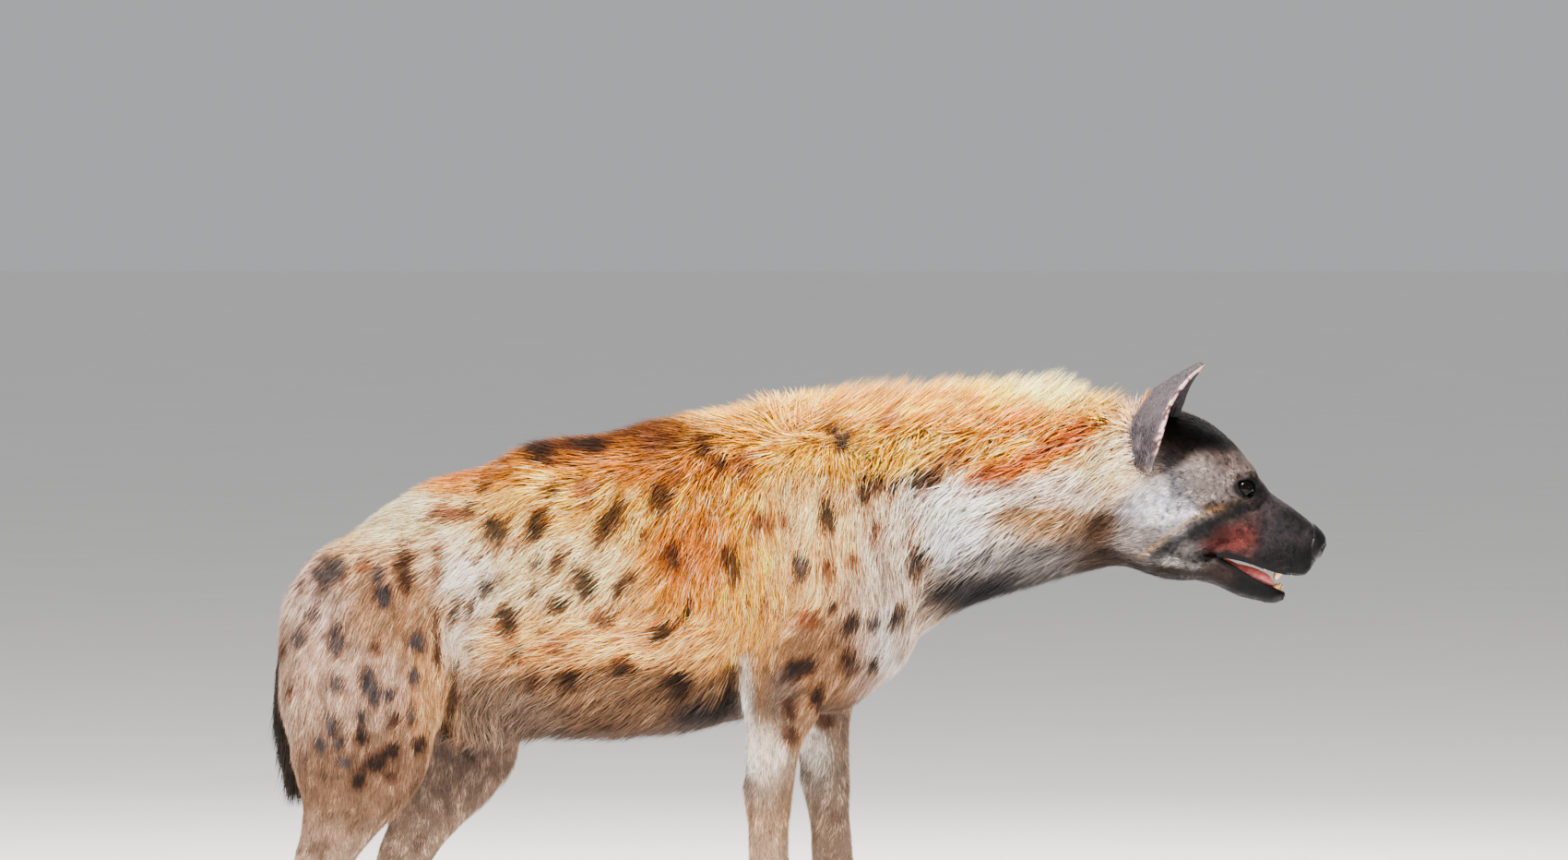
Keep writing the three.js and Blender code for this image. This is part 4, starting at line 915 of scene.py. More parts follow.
# Spots in photo pixels: x, y, width, height, lean forward (degrees), kind
DARK, BROWN, RED, GREY = (0.10, 0.065, 0.055), (0.22, 0.125, 0.08), (0.46, 0.25, 0.13), (0.22, 0.20, 0.205)
SPOTS = [
    # rump and thigh
    (368, 616, 20, 23, 0, GREY), (350, 622, 16, 20, 0, GREY), (329, 630, 9, 15, 0, GREY),
    (353, 604, 14, 12, 0, GREY), (343, 663, 13, 18, 0, GREY), (329, 686, 13, 20, 0, GREY),
    (368, 688, 17, 32, 0, GREY), (414, 617, 14, 18, 0, GREY), (440, 603, 18, 34, 0, BROWN),
    (444, 628, 14, 20, 0, BROWN), (419, 641, 17, 20, 0, GREY), (396, 609, 10, 15, 0, RED),
    (411, 699, 12, 20, 0, BROWN), (456, 691, 24, 18, 0, GREY), (406, 738, 19, 40, -12, GREY),
    (369, 738, 14, 20, 0, GREY), (319, 746, 11, 17, 0, BROWN), (451, 728, 12, 18, 0, GREY),
    (427, 749, 14, 16, 0, GREY), (362, 779, 14, 20, 0, GREY), (396, 794, 13, 20, 0, DARK),
    (431, 776, 12, 14, 0, BROWN), (448, 767, 9, 18, 0, GREY), (457, 802, 13, 17, 0, DARK),
    (371, 800, 9, 12, 0, GREY), (377, 820, 15, 9, 0, GREY), (411, 820, 23, 20, 0, DARK),
    (427, 808, 14, 17, 0, DARK), (427, 836, 14, 10, 0, BROWN), (393, 840, 17, 18, 0, DARK),
    (395, 770, 12, 14, 0, GREY), (350, 800, 10, 14, 0, GREY), (478, 607, 11, 32, 6, RED),
    (476, 668, 8, 32, 4, BROWN), (477, 704, 8, 34, -4, BROWN), (310, 700, 8, 18, 0, BROWN),
    # loin and flank
    (586, 490, 50, 25, 24, DARK), (637, 481, 46, 23, 14, DARK), (545, 497, 22, 12, 20, BROWN),
    (584, 568, 23, 38, 26, DARK), (605, 530, 13, 18, 14, BROWN), (634, 529, 22, 17, 0, RED),
    (664, 562, 18, 44, 33, BROWN), (718, 538, 22, 30, 14, BROWN), (637, 546, 12, 10, 0, RED),
    (608, 605, 13, 23, 24, BROWN), (583, 607, 10, 14, 0, GREY), (583, 638, 12, 15, 0, BROWN),
    (606, 650, 17, 18, -20, DARK), (636, 629, 23, 35, -8, DARK), (672, 634, 16, 17, 0, BROWN),
    (686, 620, 14, 18, 20, BROWN), (658, 666, 18, 18, -20, BROWN), (719, 680, 22, 21, -24, DARK),
    (746, 656, 11, 27, 8, DARK), (731, 600, 23, 28, 14, BROWN), (793, 607, 14, 41, -6, BROWN),
    (780, 503, 16, 18, 0, BROWN), (809, 503, 20, 24, 0, RED), (766, 483, 16, 22, -20, BROWN),
    (710, 484, 22, 13, 0, RED), (734, 512, 12, 9, 0, RED), (677, 717, 22, 18, -20, DARK),
    (620, 728, 21, 21, 0, DARK), (581, 733, 17, 17, 0, BROWN), (737, 733, 24, 23, 0, DARK),
    (606, 693, 19, 13, 0, RED), (564, 704, 12, 18, 0, BROWN), (825, 562, 24, 22, 0, RED),
    (511, 552, 14, 18, 14, BROWN), (485, 557, 32, 17, 0, RED), (540, 574, 23, 33, 6, DARK),
    (527, 528, 12, 16, 24, BROWN), (530, 632, 13, 20, 8, DARK), (548, 622, 10, 15, 0, BROWN),
    (497, 658, 12, 27, 0, DARK), (513, 658, 9, 23, 0, BROWN), (553, 667, 21, 32, -12, DARK),
    (565, 704, 13, 15, 0, BROWN), (655, 585, 8, 12, 0, RED), (560, 590, 8, 10, 0, RED),
    (700, 575, 8, 10, 0, RED), (520, 600, 8, 10, 0, RED), (590, 676, 9, 11, 0, RED),
    # shoulder, foreleg and neck
    (867, 607, 14, 34, 0, GREY), (896, 558, 13, 30, 0, DARK), (935, 530, 12, 24, 6, DARK),
    (951, 524, 14, 20, 0, BROWN), (968, 526, 12, 20, 0, DARK), (948, 575, 12, 24, 0, RED),
    (994, 519, 17, 20, 0, DARK), (1014, 512, 13, 24, 14, BROWN), (991, 601, 16, 36, 0, DARK),
    (988, 565, 8, 20, 0, RED), (897, 616, 14, 18, 0, RED), (902, 652, 12, 14, 0, BROWN),
    (922, 672, 15, 26, 8, DARK), (945, 670, 14, 18, 0, GREY), (971, 665, 14, 30, 12, DARK),
    (861, 722, 17, 23, 14, DARK), (876, 717, 12, 19, 0, DARK), (857, 760, 15, 18, 0, BROWN),
    (857, 792, 17, 18, 0, BROWN), (887, 752, 14, 27, 8, DARK), (876, 666, 24, 16, 0, RED),
    (920, 712, 16, 26, 8, DARK), (945, 722, 13, 22, 8, DARK), (960, 466, 16, 14, 0, RED),
    (910, 480, 20, 14, -20, GREY), (898, 470, 14, 10, -20, BROWN), (1034, 500, 14, 20, 24, RED),
    # The dark spot at 905, 800 is painted shade on the far foreleg.
    (905, 800, 16, 30, 0, DARK), (830, 650, 9, 20, 0, RED), (1232, 430, 22, 13, 0, BROWN),
    (850, 560, 10, 16, 0, RED), (925, 600, 9, 14, 0, RED),
]
PATCH_SIZE, SPOT_SIZE = 1.05, 0.59  # times the tables' own
SATURATION = 0.42  # added to the patches' own, on the body
LEFT_SATURATION = 0.95  # of the patches' own
CONTRAST, PALE_LEVEL = 0.24, 0.5  # darker than the pale level gets darker still
LEFT_SHIFT, LEFT_SIZE = 15.0, 70.0  # how far the left side's marks wander, over what length
# The skin under the coat is darkened as painted shadow of the hair over it.
HAIR_SHADOW_ON_SKIN = 0.62  # of the skin under the hair, beside the coat's colour
BELLY_COLOUR, SHANK_COLOUR = srgb(0.26, 0.21, 0.19), srgb(0.52, 0.42, 0.35)
PAW_COLOUR, SHANK_SPOTS = srgb(0.24, 0.18, 0.15), srgb(0.22, 0.15, 0.12)
EYE_RIM_AND_BROW_SHADE_COLOUR, LIP_COLOUR = srgb(0.02, 0.017, 0.017), srgb(0.025, 0.022, 0.024)
GUM_COLOUR = srgb(0.70, 0.40, 0.33)


def nearness(dx, dy):
    return (dx * dx + dy * dy + 0.35) ** -2.5


def patch_colour(x, y):
    total, weights = np.zeros((len(x), 3)), np.zeros(len(x))
    for _, px, py, wide, high, colour in PATCHES:
        weight = nearness((x - px) / (wide * PATCH_SIZE), (y - py) / (high * PATCH_SIZE))
        total += weight[:, None] * srgb(*colour)
        weights += weight
    return total / weights[:, None]


def spot_shade(x, y, wobble):
    """How strongly each place is covered by a spot, and the spots' colour there."""
    strength, tone = np.zeros(len(x)), np.zeros((len(x), 3))
    for px, py, wide, high, lean, colour in SPOTS:
        c, s = math.cos(math.radians(lean)), math.sin(math.radians(lean))
        dx, dy = x - px, y - py
        a, b = (dx * c + dy * s) / (wide * SPOT_SIZE), (dy * c - dx * s) / (high * SPOT_SIZE)
        cover = 1 - smoothstep(np.hypot(a, b) + 0.42 * wobble, 0.5, 1.45)
        tone += cover[:, None] * srgb(*colour)
        strength += cover
    tone = tone / np.maximum(strength, 1e-6)[:, None]
    return np.minimum(strength, 1), tone


# The patch round each eye is the lids' dark skin, with painted shade of the brow at its upper front.
EYE_PATCH = (1351.0, 526.5, 17.0, 11.5)  # photo pixels: middle and half lengths


def around_eyes(p):
    """1 in the dark skin round the eyes and in painted shade of the brow over their front, running on towards
    the nose.
    """
    x, y = to_photo(p)
    far = np.hypot((x - EYE_PATCH[0]) / EYE_PATCH[2], (y - EYE_PATCH[1]) / EYE_PATCH[3])
    return (1 - smoothstep(far, 0.75, 1.2)) * smoothstep(np.abs(p[:, 1]), 24, 34)


def unprojected(p):
    """Breaks up the spots where the side view would draw bands: over the spine and across the rump."""
    spine = smoothstep(p[:, 1] + 9 * noise(p, 26, 36), -14, 4) * (1 - smoothstep(p[:, 1], 50, 90))
    behind = smoothstep(-p[:, 0], 565, 600) * (1 - smoothstep(np.abs(p[:, 1]), 70, 95))
    islands = smoothstep(noise(p, 30, 37) + 0.4 * noise(p, 13, 38), 0.12, 0.42)
    dots = smoothstep(noise(p, 21, 39) + 0.4 * noise(p, 10, 40), 0.05, 0.35)
    return mix(mix(1.0, islands, spine), dots, behind)


def speckle(p, h):
    """Dark and light flecks, finest on the head."""
    head = smoothstep(h[:, 0], -20, 40)
    fine = noise(p, 4.0, 61) + 0.7 * noise(p, 2.2, 62)
    coarse = noise(p, 6.5, 63) + 0.6 * noise(p, 3.6, 64)
    dark = smoothstep(mix(coarse, fine, head), 0.15, 0.75)
    light = smoothstep(-mix(coarse, fine, head), 0.2, 0.8)
    return (1 - mix(0.34, 0.70, head) * dark) * (1 + mix(0.16, 0.50, head) * light)


def markings_and_painted_light(p):
    """The colour at each point of coat or skin, in linear light: marks, painted shade and highlights."""
    moved = as_right(p)
    left = smoothstep(p[:, 1], 5, 30)
    for axis, seed in ((0, 21), (2, 22)):
        moved[:, axis] += left * LEFT_SHIFT * noise(p, LEFT_SIZE, seed)
    x, y = to_photo(moved)
    ragged = noise(p, 7, 3) * 0.6 + noise(p, 17, 4) * 0.6
    colour = patch_colour(x + 7 * noise(p, 30, 8), y + 6 * noise(p, 26, 9))
    colour = colour * (1 + 0.12 * noise(p, 12, 6) + 0.12 * noise(p, 40, 7))[:, None]
    grey = colour.mean(1, keepdims=True)
    rich = 1 + SATURATION * (1 - smoothstep(x, 1190, 1240))
    rich = mix(rich, LEFT_SATURATION, smoothstep(p[:, 1], -50, 60))[:, None]
    colour = np.maximum(grey + rich * (colour - grey), 0.004)
    colour = colour * (np.maximum(colour.mean(1, keepdims=True), 0.002) / PALE_LEVEL) ** CONTRAST
    for path, width, tint, strength in STREAKS:
        near = line_nearness(x, y + 2 * ragged, path, width) * strength
        colour = mix(colour, srgb(*tint), near[:, None])
    h = to_head(p)
    body = 1 - smoothstep(h[:, 0], 0, 30) * smoothstep(p[:, 0], 380, 420)
    cover, tone = spot_shade(x + 2.0 * noise(p, 9, 31), y + 2.0 * noise(p, 9, 32), ragged)
    cover = cover * unprojected(p)
    halo = mix(colour * srgb(0.80, 0.66, 0.55), tone, smoothstep(cover, 0.25, 0.85)[:, None])
    colour = mix(colour, halo, (smoothstep(cover, 0, 0.5) * body * 0.95)[:, None])
    colour = colour * speckle(p, h)[:, None]
    colour = mix(colour, EYE_RIM_AND_BROW_SHADE_COLOUR, (0.96 * around_eyes(p))[:, None])
    return low_marks(p, colour)


def low_marks(p, colour):
    """What the side view doesn't give: belly, inside of the legs, lower legs and feet."""
    z = p[:, 2]
    shank = 1 - smoothstep(z, 215, 315)
    tone = mix(SHANK_COLOUR, PAW_COLOUR, (1 - smoothstep(z, 20, 190))[:, None])
    blotch = smoothstep(noise(p, 19, 41) + 0.25 * noise(p, 8, 42), 0.25, 0.5) * smoothstep(z, 60, 120)
    tone = mix(tone, SHANK_SPOTS, (0.75 * blotch)[:, None])
    colour = mix(colour, tone, shank[:, None])
    inner = (1 - smoothstep(np.abs(p[:, 1]), 40, 75)) * (1 - smoothstep(z, 400, 470))
    inner = inner * (1 - smoothstep(p[:, 0], 60, 110))
    return mix(colour, BELLY_COLOUR, (inner * 0.8)[:, None])


def skin_colour(p):
    """Coat marks and painted light in painted hair shadow, with the bare parts: eyes' rims, lips and inside
    of the mouth.
    """
    colour = markings_and_painted_light(p) * HAIR_SHADOW_ON_SKIN
    h = to_head(p)
    for side in (-1, 1):
        outside, ahead = lid_opening(h, side)
        rim = (1 - smoothstep(outside, 1.5, 4.5)) * smoothstep(ahead, 2, 6)
        colour = mix(colour, EYE_RIM_AND_BROW_SHADE_COLOUR, rim[:, None])
    lip = lip_distance(h)
    colour = mix(colour, LIP_COLOUR, (1 - smoothstep(lip, 0.5, 3.5))[:, None])
    inside = (1 - smoothstep(mouth_hollow(h), 0.2, 1.2)) * smoothstep(lip, 0.5, 2.5)
    return mix(colour, GUM_COLOUR, inside[:, None])


# The coat's lie in the side view, in photo pixels: x, y, reach, then the tips' direction (forward, up),
# length in millimetres and lift in degrees
LIE = [
    (425, 556, 40, -0.9, -0.4, 22, 17), (330, 650, 40, -0.35, -0.95, 20, 16),
    (310, 760, 40, -0.1, -1.0, 20, 16), (400, 650, 40, -0.45, -0.9, 19, 16),
    (400, 740, 50, -0.25, -1.0, 16, 15), (400, 850, 50, -0.1, -1.0, 13, 14),
    (480, 700, 26, 0.05, -1.0, 16, 16), (500, 520, 40, -0.9, -0.35, 26, 20),
    (600, 480, 46, -1.0, -0.15, 32, 24), (700, 462, 46, -1.0, -0.12, 34, 24),
    (790, 446, 36, -0.9, 0.0, 34, 28), (560, 570, 40, -0.6, -0.8, 25, 18),
    (700, 540, 46, -0.5, -0.86, 28, 18), (780, 500, 30, -0.2, -0.97, 32, 22),
    (640, 620, 46, -0.7, -0.7, 26, 17), (530, 630, 34, -0.75, -0.6, 24, 17),
    (640, 690, 40, -0.97, -0.2, 26, 17), (550, 690, 34, -0.95, -0.3, 25, 17),
    (710, 690, 30, -0.95, -0.25, 26, 17), (560, 775, 34, 0.45, -0.9, 34, 24),
    (640, 760, 34, -0.9, -0.5, 28, 20), (620, 815, 40, -0.1, -1.0, 46, 30),
    (740, 790, 40, -0.6, -0.8, 40, 26), (757, 630, 30, -0.35, -0.93, 26, 17),
    (765, 680, 22, -0.85, -0.45, 24, 17), (828, 620, 34, 0.0, -1.0, 25, 17),
    (820, 700, 22, -0.1, -1.0, 18, 15), (889, 560, 44, -0.08, -1.0, 26, 17),
    (887, 665, 30, -0.5, -0.85, 18, 15), (866, 725, 28, -0.65, -0.75, 14, 14),
    (840, 800, 40, -0.15, -1.0, 12, 13), (940, 610, 34, 0.0, -1.0, 24, 17),
    (960, 670, 30, -0.35, -0.94, 22, 18), (965, 725, 26, -0.5, -0.86, 22, 18),
    (905, 505, 36, -0.25, -0.97, 30, 20), (1012, 580, 26, -0.5, -0.86, 34, 20),
    (1060, 570, 34, -0.75, -0.66, 36, 20), (1120, 560, 34, -0.9, -0.45, 32, 19),
    (1130, 610, 34, -0.9, -0.4, 26, 20), (1050, 630, 34, -0.8, -0.6, 30, 22),
    (1040, 505, 34, -0.7, -0.7, 36, 22), (1130, 500, 34, -0.92, -0.38, 36, 20),
    (1190, 480, 26, -0.75, -0.65, 28, 20), (1190, 550, 26, -0.75, -0.66, 24, 18),
    (1200, 600, 22, -0.9, -0.4, 18, 18), (870, 432, 34, 0.1, 0.9, 40, 40), (960, 418, 40, 0.8, 0.6, 48, 48),
    (1060, 412, 50, 0.8, 0.6, 50, 50), (1160, 410, 50, 0.8, 0.6, 48, 50), (1222, 412, 26, 0.8, 0.5, 26, 34),
    (1245, 418, 16, 0.1, 0.6, 9, 18), (960, 462, 34, -0.4, -0.9, 36, 26),
    (1060, 456, 34, -0.6, -0.75, 38, 26), (1150, 450, 34, -0.6, -0.75, 34, 26),
    (1215, 445, 16, -0.3, 0.5, 26, 26), (1232, 520, 16, -0.8, -0.5, 13, 16),
    (1262, 560, 24, -0.88, -0.45, 9, 15), (1290, 470, 26, -0.6, 0.7, 8, 16),
    (1275, 430, 20, -0.6, 0.6, 12, 20), (1330, 490, 20, -0.55, 0.75, 6, 14),
    (1300, 530, 22, -0.95, -0.1, 7, 14), (1345, 550, 16, -0.97, -0.1, 5, 13),
    (1300, 590, 22, -0.93, -0.2, 7, 15), (1390, 555, 22, -0.85, 0.5, 3.6, 12),
    (1385, 590, 24, -0.96, 0.1, 3.4, 12), (1330, 625, 22, -0.95, 0.15, 6, 15),
    (1370, 645, 18, -0.95, -0.1, 5, 16), (1250, 612, 24, -0.95, 0.1, 12, 18),
]
WIDTH_SHARE, LEAST_WIDTH = 0.056, 0.85  # a tuft's width for its length, and the least in millimetres
HEAD_WIDTH, HEAD_LENGTH = 0.8, 0.82  # times the tufts' own


def tuft_widths(lengths):
    return np.maximum(lengths * WIDTH_SHARE, LEAST_WIDTH)


def lie_of(p, normal):
    """Direction along the skin, length and lift of the coat at each point."""
    x, y = to_photo(as_right(p))
    total, weights = np.zeros((len(p), 4)), np.zeros(len(p))
    for px, py, reach, forward, up, length, lift in LIE:
        weight = nearness((x - px) / reach, (y - py) / reach)
        total += weight[:, None] * np.array([forward, up, length, lift])
        weights += weight
    forward, up, length, lift = (total / weights[:, None]).T
    z = p[:, 2]
    shank = 1 - smoothstep(z, 240, 350)
    foot = 1 - smoothstep(z, 30, 80)
    forward = mix(forward, -0.12, shank)
    up = mix(up, -1.0, shank)
    forward, up = mix(forward, 0.8, foot), mix(up, -0.7, foot)
    length = mix(mix(length, 9.5, shank), 6.0, foot)
    lift = mix(lift, 12.0, shank)
    belly = smoothstep(-normal[:, 2], 0.3, 0.8) * (1 - shank) * (1 - smoothstep(p[:, 0], -170, -120))
    forward, up = mix(forward, -0.7, belly), mix(up, -0.7, belly)
    length = mix(length, 34.0, belly)
    wander = 0.30 * noise(p, 26, 51) + 0.16 * noise(p, 11, 52)
    c, s = np.cos(wander), np.sin(wander)
    forward, up = forward * c - up * s, forward * s + up * c
    direction = np.stack([forward, np.zeros(len(p)), up], axis=1)
    direction[:, 1] += 0.10 * np.sign(p[:, 1])
    direction -= normal * (direction * normal).sum(1)[:, None]
    return unit(direction), length, np.radians(lift)


def bare(p):
    """1 where no hair grows: lids, lips, mouth, nose and soles."""
    h = to_head(p)
    out = 1 - smoothstep(p[:, 2], 3, 7)
    for side in (-1, 1):
        outside, ahead = lid_opening(h, side)
        out = np.maximum(out, (1 - smoothstep(outside, 2.5, 4.5)) * (ahead > 0))
    lip = lip_distance(h)
    out = np.maximum(out, 1 - smoothstep(lip, 1.0, 3.0))
    out = np.maximum(out, mouth_hollow(h) < 1.5)
    return np.maximum(out, nose_region(h) < 3)


# Where each place lies on an unwrap of the skin: a strip for the body, one for the head and a row of four
# over the legs, as corner and size on the map
CHARTS = {
    "body": (0.01, 0.52, 0.98, 0.47), "head": (0.01, 0.27, 0.98, 0.23),
    "foreleg_right": (0.01, 0.01, 0.23, 0.24), "foreleg_left": (0.26, 0.01, 0.23, 0.24),
    "hindleg_right": (0.51, 0.01, 0.23, 0.24), "hindleg_left": (0.76, 0.01, 0.23, 0.24),
}
BODY_MIDDLE = Curve([(-622, 522), (-560, 540), (-300, 555), (0, 585), (118, 640), (250, 675), (372, 688)], 1)
TUFT_PATCH = 0.003  # the side of a tuft's patch on the map


def unwrap(p):
    """A place on the unwrap for each point: along its part and round it."""
    h = to_head(p)

    def turn(y, x):
        return np.arctan2(y, x) / (2 * math.pi) + 0.5

    place = np.stack([(p[:, 0] + 680) / 1100, turn(p[:, 1], p[:, 2] - BODY_MIDDLE(p[:, 0]))], axis=1)
    chart = np.tile(np.array(CHARTS["body"]), (len(p), 1))
    in_head = h[:, 0] > 10
    place[in_head] = np.stack([(h[:, 0] + 60) / 320, turn(h[:, 1], h[:, 2] + 4)], axis=1)[in_head]
    chart[in_head] = CHARTS["head"]
    for name, curves in LEG_CURVES.items():
        x, y = curves[1](p[:, 2]), LEG_SIDE[name] * curves[2](p[:, 2])
        mine = (p[:, 2] < 380) & (np.abs(p[:, 0] - x) < 130) & (p[:, 1] * LEG_SIDE[name] > 0)
        place[mine] = np.stack([turn(p[:, 1] - y, p[:, 0] - x), p[:, 2] / 400], axis=1)[mine]
        chart[mine] = CHARTS[name]
    return chart[:, :2] + np.clip(place, 0, 1) * chart[:, 2:]


# Meshes and materials

eye_low, eye_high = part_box("eye_left")
EYE_CENTRE = from_head(EYE["along"], EYE["up"], EYE["side"])
SHIFT = np.array([(eye_low[a] + eye_high[a]) * 500 - EYE_CENTRE[a] for a in range(3)])


def in_metres(points):
    return (np.asarray(points, float) + SHIFT) * 0.001


def linked(name, data):
    """A new object in the scene."""
    obj = bpy.data.objects.new(name, data)
    bpy.context.scene.collection.objects.link(obj)
    return obj


def mesh_object(name, points, faces, material, slot, colours=None, uv=None):
    """A mesh of three-sided or four-sided faces, from points in millimetres, riding on the body."""
    mesh = bpy.data.meshes.new(name)
    corners = faces.shape[1]
    mesh.vertices.add(len(points))
    place = in_metres(points)
    place[:, 2] = np.maximum(place[:, 2], 0)
    mesh.vertices.foreach_set("co", place.astype(np.float32).ravel())
    mesh.loops.add(faces.size)
    mesh.loops.foreach_set("vertex_index", faces.astype(np.int32).ravel())
    mesh.polygons.add(len(faces))
    mesh.polygons.foreach_set("loop_start", np.arange(0, faces.size, corners, dtype=np.int32))
    mesh.update(calc_edges=True)
    mesh.validate()
    mesh.polygons.foreach_set("use_smooth", np.ones(len(faces), bool))
    if colours is not None:
        layer = mesh.color_attributes.new("Coat", "FLOAT_COLOR", "POINT")
        rgba = np.hstack([np.clip(colours, 0, 1), np.ones((len(points), 1))])
        layer.data.foreach_set("color", rgba.astype(np.float32).ravel())
    if uv is not None:
        layer = mesh.uv_layers.new(name="OFBake")
        layer.data.foreach_set("uv", uv[faces.ravel()].astype(np.float32).ravel())
    obj = linked(name, mesh)
    mesh.materials.append(material)
    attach(obj, "root")
    return obj


class Material:
    """A new material, its surface shader and short ways to add nodes."""

    def __init__(self, name, roughness, specular):
        self.material = bpy.data.materials.new(name)
        self.material.use_nodes = True
        self.nodes = self.material.node_tree.nodes
        self.links = self.material.node_tree.links
        self.shader = self.nodes["Principled BSDF"]
        self.set(**{"Roughness": roughness, "Specular IOR Level": specular})

    def set(self, **values):
        for key, value in values.items():
            self.shader.inputs[key].default_value = value

    def node(self, kind, **inputs):
        node = self.nodes.new(kind)
        for key, value in inputs.items():
            node.inputs[key].default_value = value
        return node

    def texture(self, kind, output, **inputs):
        """A texture's output, laid out on the object's own coordinates."""
        place = self.nodes.new("ShaderNodeTexCoord")
        node = self.node(kind, **inputs)
        self.links.new(place.outputs["Object"], node.inputs["Vector"])
        return node.outputs[output]

    def noise(self, scale, detail):
        return self.texture("ShaderNodeTexNoise", "Fac", Scale=scale, Detail=detail, Roughness=0.6)

    def ranged(self, value, low, high):
        """A noise's middle values spread from low to high."""
        limits = {"From Min": 0.3, "From Max": 0.7, "To Min": low, "To Max": high}
        node = self.node("ShaderNodeMapRange", **limits)
        self.links.new(value, node.inputs["Value"])
        return node.outputs["Result"]

    def coat_times(self, value):
        """The colour that the mesh's points carry, scaled by a value."""
        colour = self.nodes.new("ShaderNodeAttribute")
        colour.attribute_name = "Coat"
        node = self.nodes.new("ShaderNodeVectorMath")
        node.operation = "SCALE"
        self.links.new(colour.outputs["Color"], node.inputs[0])
        self.links.new(value, node.inputs["Scale"])
        return node.outputs["Vector"]

    def ramp(self, value, stops):
        node = self.nodes.new("ShaderNodeValToRGB")
        elements = node.color_ramp.elements
        while len(elements) < len(stops):
            elements.new(0.5)
        for element, (place, colour) in zip(elements, stops):
            element.position = place
            element.color = (*srgb(*colour), 1)
        self.links.new(value, node.inputs["Fac"])
        return node.outputs["Color"]

    def bump(self, heights, strength):
        """Several bumps on one another: (height socket, distance in metres)."""
        last = None
        for height, distance in heights:
            node = self.node("ShaderNodeBump", Strength=strength, Distance=distance)
            self.links.new(height, node.inputs["Height"])
            if last is not None:
                self.links.new(last, node.inputs["Normal"])
            last = node.outputs["Normal"]
        self.links.new(last, self.shader.inputs["Normal"])


# Each material's roughness and specular level, then scale and detail of a noise with what it does to the
# colour (a ramp's stops, or a range that scales the coat's colour), the same for the roughness, and bumps as
# scale, detail and height in metres (a grain of cells where there is no detail), with their strength
MATERIALS = {
    "skin": (0.62, 0.08, (650, 4, (0.72, 1.22)), (90, 3, 0.5, 0.75),
             [(240, 3, 0.0012), (900, 3, 0.0006)], 0.9),
    "ear_skin": (0.7, 0.3, (900, 4, (0.7, 1.3)), (150, 3, 0.55, 0.8),
                 [(500, 3, 0.0007), (1300, 2, 0.0004)], 0.9),
    "eye": (0.08, 0.04, (900, 4, (0.7, 1.3)), (300, 2, 0.04, 0.12), [(500, 1, 0.00002)], 0.2),
    "nose_skin": (0.4, 0.1, (60, 3, [(0.3, (0.01, 0.01, 0.012)), (0.7, (0.035, 0.033, 0.038))]),
                  (120, 3, 0.35, 0.6), [(620, None, 0.0004), (90, 3, 0.0006)], 0.7),
    "tongue": (0.35, 0.5, (150, 4, [(0.3, (0.72, 0.32, 0.34)), (0.7, (0.93, 0.55, 0.56))]),
               (200, 3, 0.22, 0.5), [(700, 3, 0.0004), (160, 2, 0.0007)], 0.8),
    "worn_tooth": (0.3, 0.5, (110, 4, [
        (0.3, (0.62, 0.44, 0.24)), (0.52, (0.80, 0.66, 0.42)), (0.75, (0.92, 0.85, 0.68)),
    ]), (180, 3, 0.2, 0.45), [(260, 3, 0.0004)], 0.7),
    "claw_horn": (0.35, 0.5, (160, 4, [(0.3, (0.07, 0.055, 0.045)), (0.7, (0.22, 0.17, 0.135))]),
                  (260, 3, 0.25, 0.55), [(420, 3, 0.0005)], 0.8),
}


def made(name, roughness, specular, tint, rough=None, bumps=(), strength=1.0, **others):
    """A material whose colour, roughness and relief vary with noise."""
    m = Material(name, roughness, specular)
    scale, detail, values = tint
    value = m.noise(scale, detail)
    colour = m.ramp(value, values) if isinstance(values, list) else m.coat_times(m.ranged(value, *values))
    m.links.new(colour, m.shader.inputs["Base Color"])
    if rough:
        m.links.new(m.ranged(m.noise(*rough[:2]), *rough[2:]), m.shader.inputs["Roughness"])
    if bumps:
        m.bump([
            (m.texture("ShaderNodeTexVoronoi", "Distance", Scale=scale) if detail is None
             else m.noise(scale, detail), height) for scale, detail, height in bumps
        ], strength)
    m.set(**others)
    return m.material


def listed(name, **others):
    return made(name, *MATERIALS[name], **others)


def hair_material(name, roughness=0.62, sheen=0.0):
    rough = (160, 2, roughness - 0.1, roughness + 0.12)
    return made(name, roughness, 0.08, (420, 2, (0.86, 1.14)), rough, **{"Sheen Weight": sheen})


# Tufts

def spread_roots(points, faces, normals, density, number):
    """A number of roots spread over faces by their area and density."""
    area = np.linalg.norm(face_normals(points, faces), axis=1) / 2
    share = np.cumsum(area * density)
    face = np.searchsorted(share, (np.arange(number) + rng.random(number)) * share[-1] / number)
    face = np.minimum(face, len(faces) - 1)
    a, b = rng.random(number), rng.random(number)
    over = a + b > 1
    a, b = np.where(over, 1 - a, a), np.where(over, 1 - b, b)
    weight = np.stack([1 - a - b, a, b], axis=1)[:, :, None]
    corners = faces[face]
    return (points[corners] * weight).sum(1), unit((normals[corners] * weight).sum(1))


def streaks(roots, lies, lengths):
    """Tones from about -1 to 1 that run along the lie, as locks of hair do."""
    total = np.zeros(len(roots))
    steps = np.linspace(-0.8, 0.8, 7)
    for step in steps:
        at = roots + lies * (lengths * step)[:, None]
        total += 0.62 * noise(at, 3.6, 65) + 0.55 * noise(at, 7.5, 66)
    return np.clip(total / len(steps) * 2.6, -1.4, 1.4)


ODD_HAIRS = 0.20  # the share of pale tufts among the others, and of dark ones
PALE_HAIR, DARK_HAIR = np.array([0.36, 0.31, 0.23]), np.array([0.34, 0.25, 0.20])  # added, and times


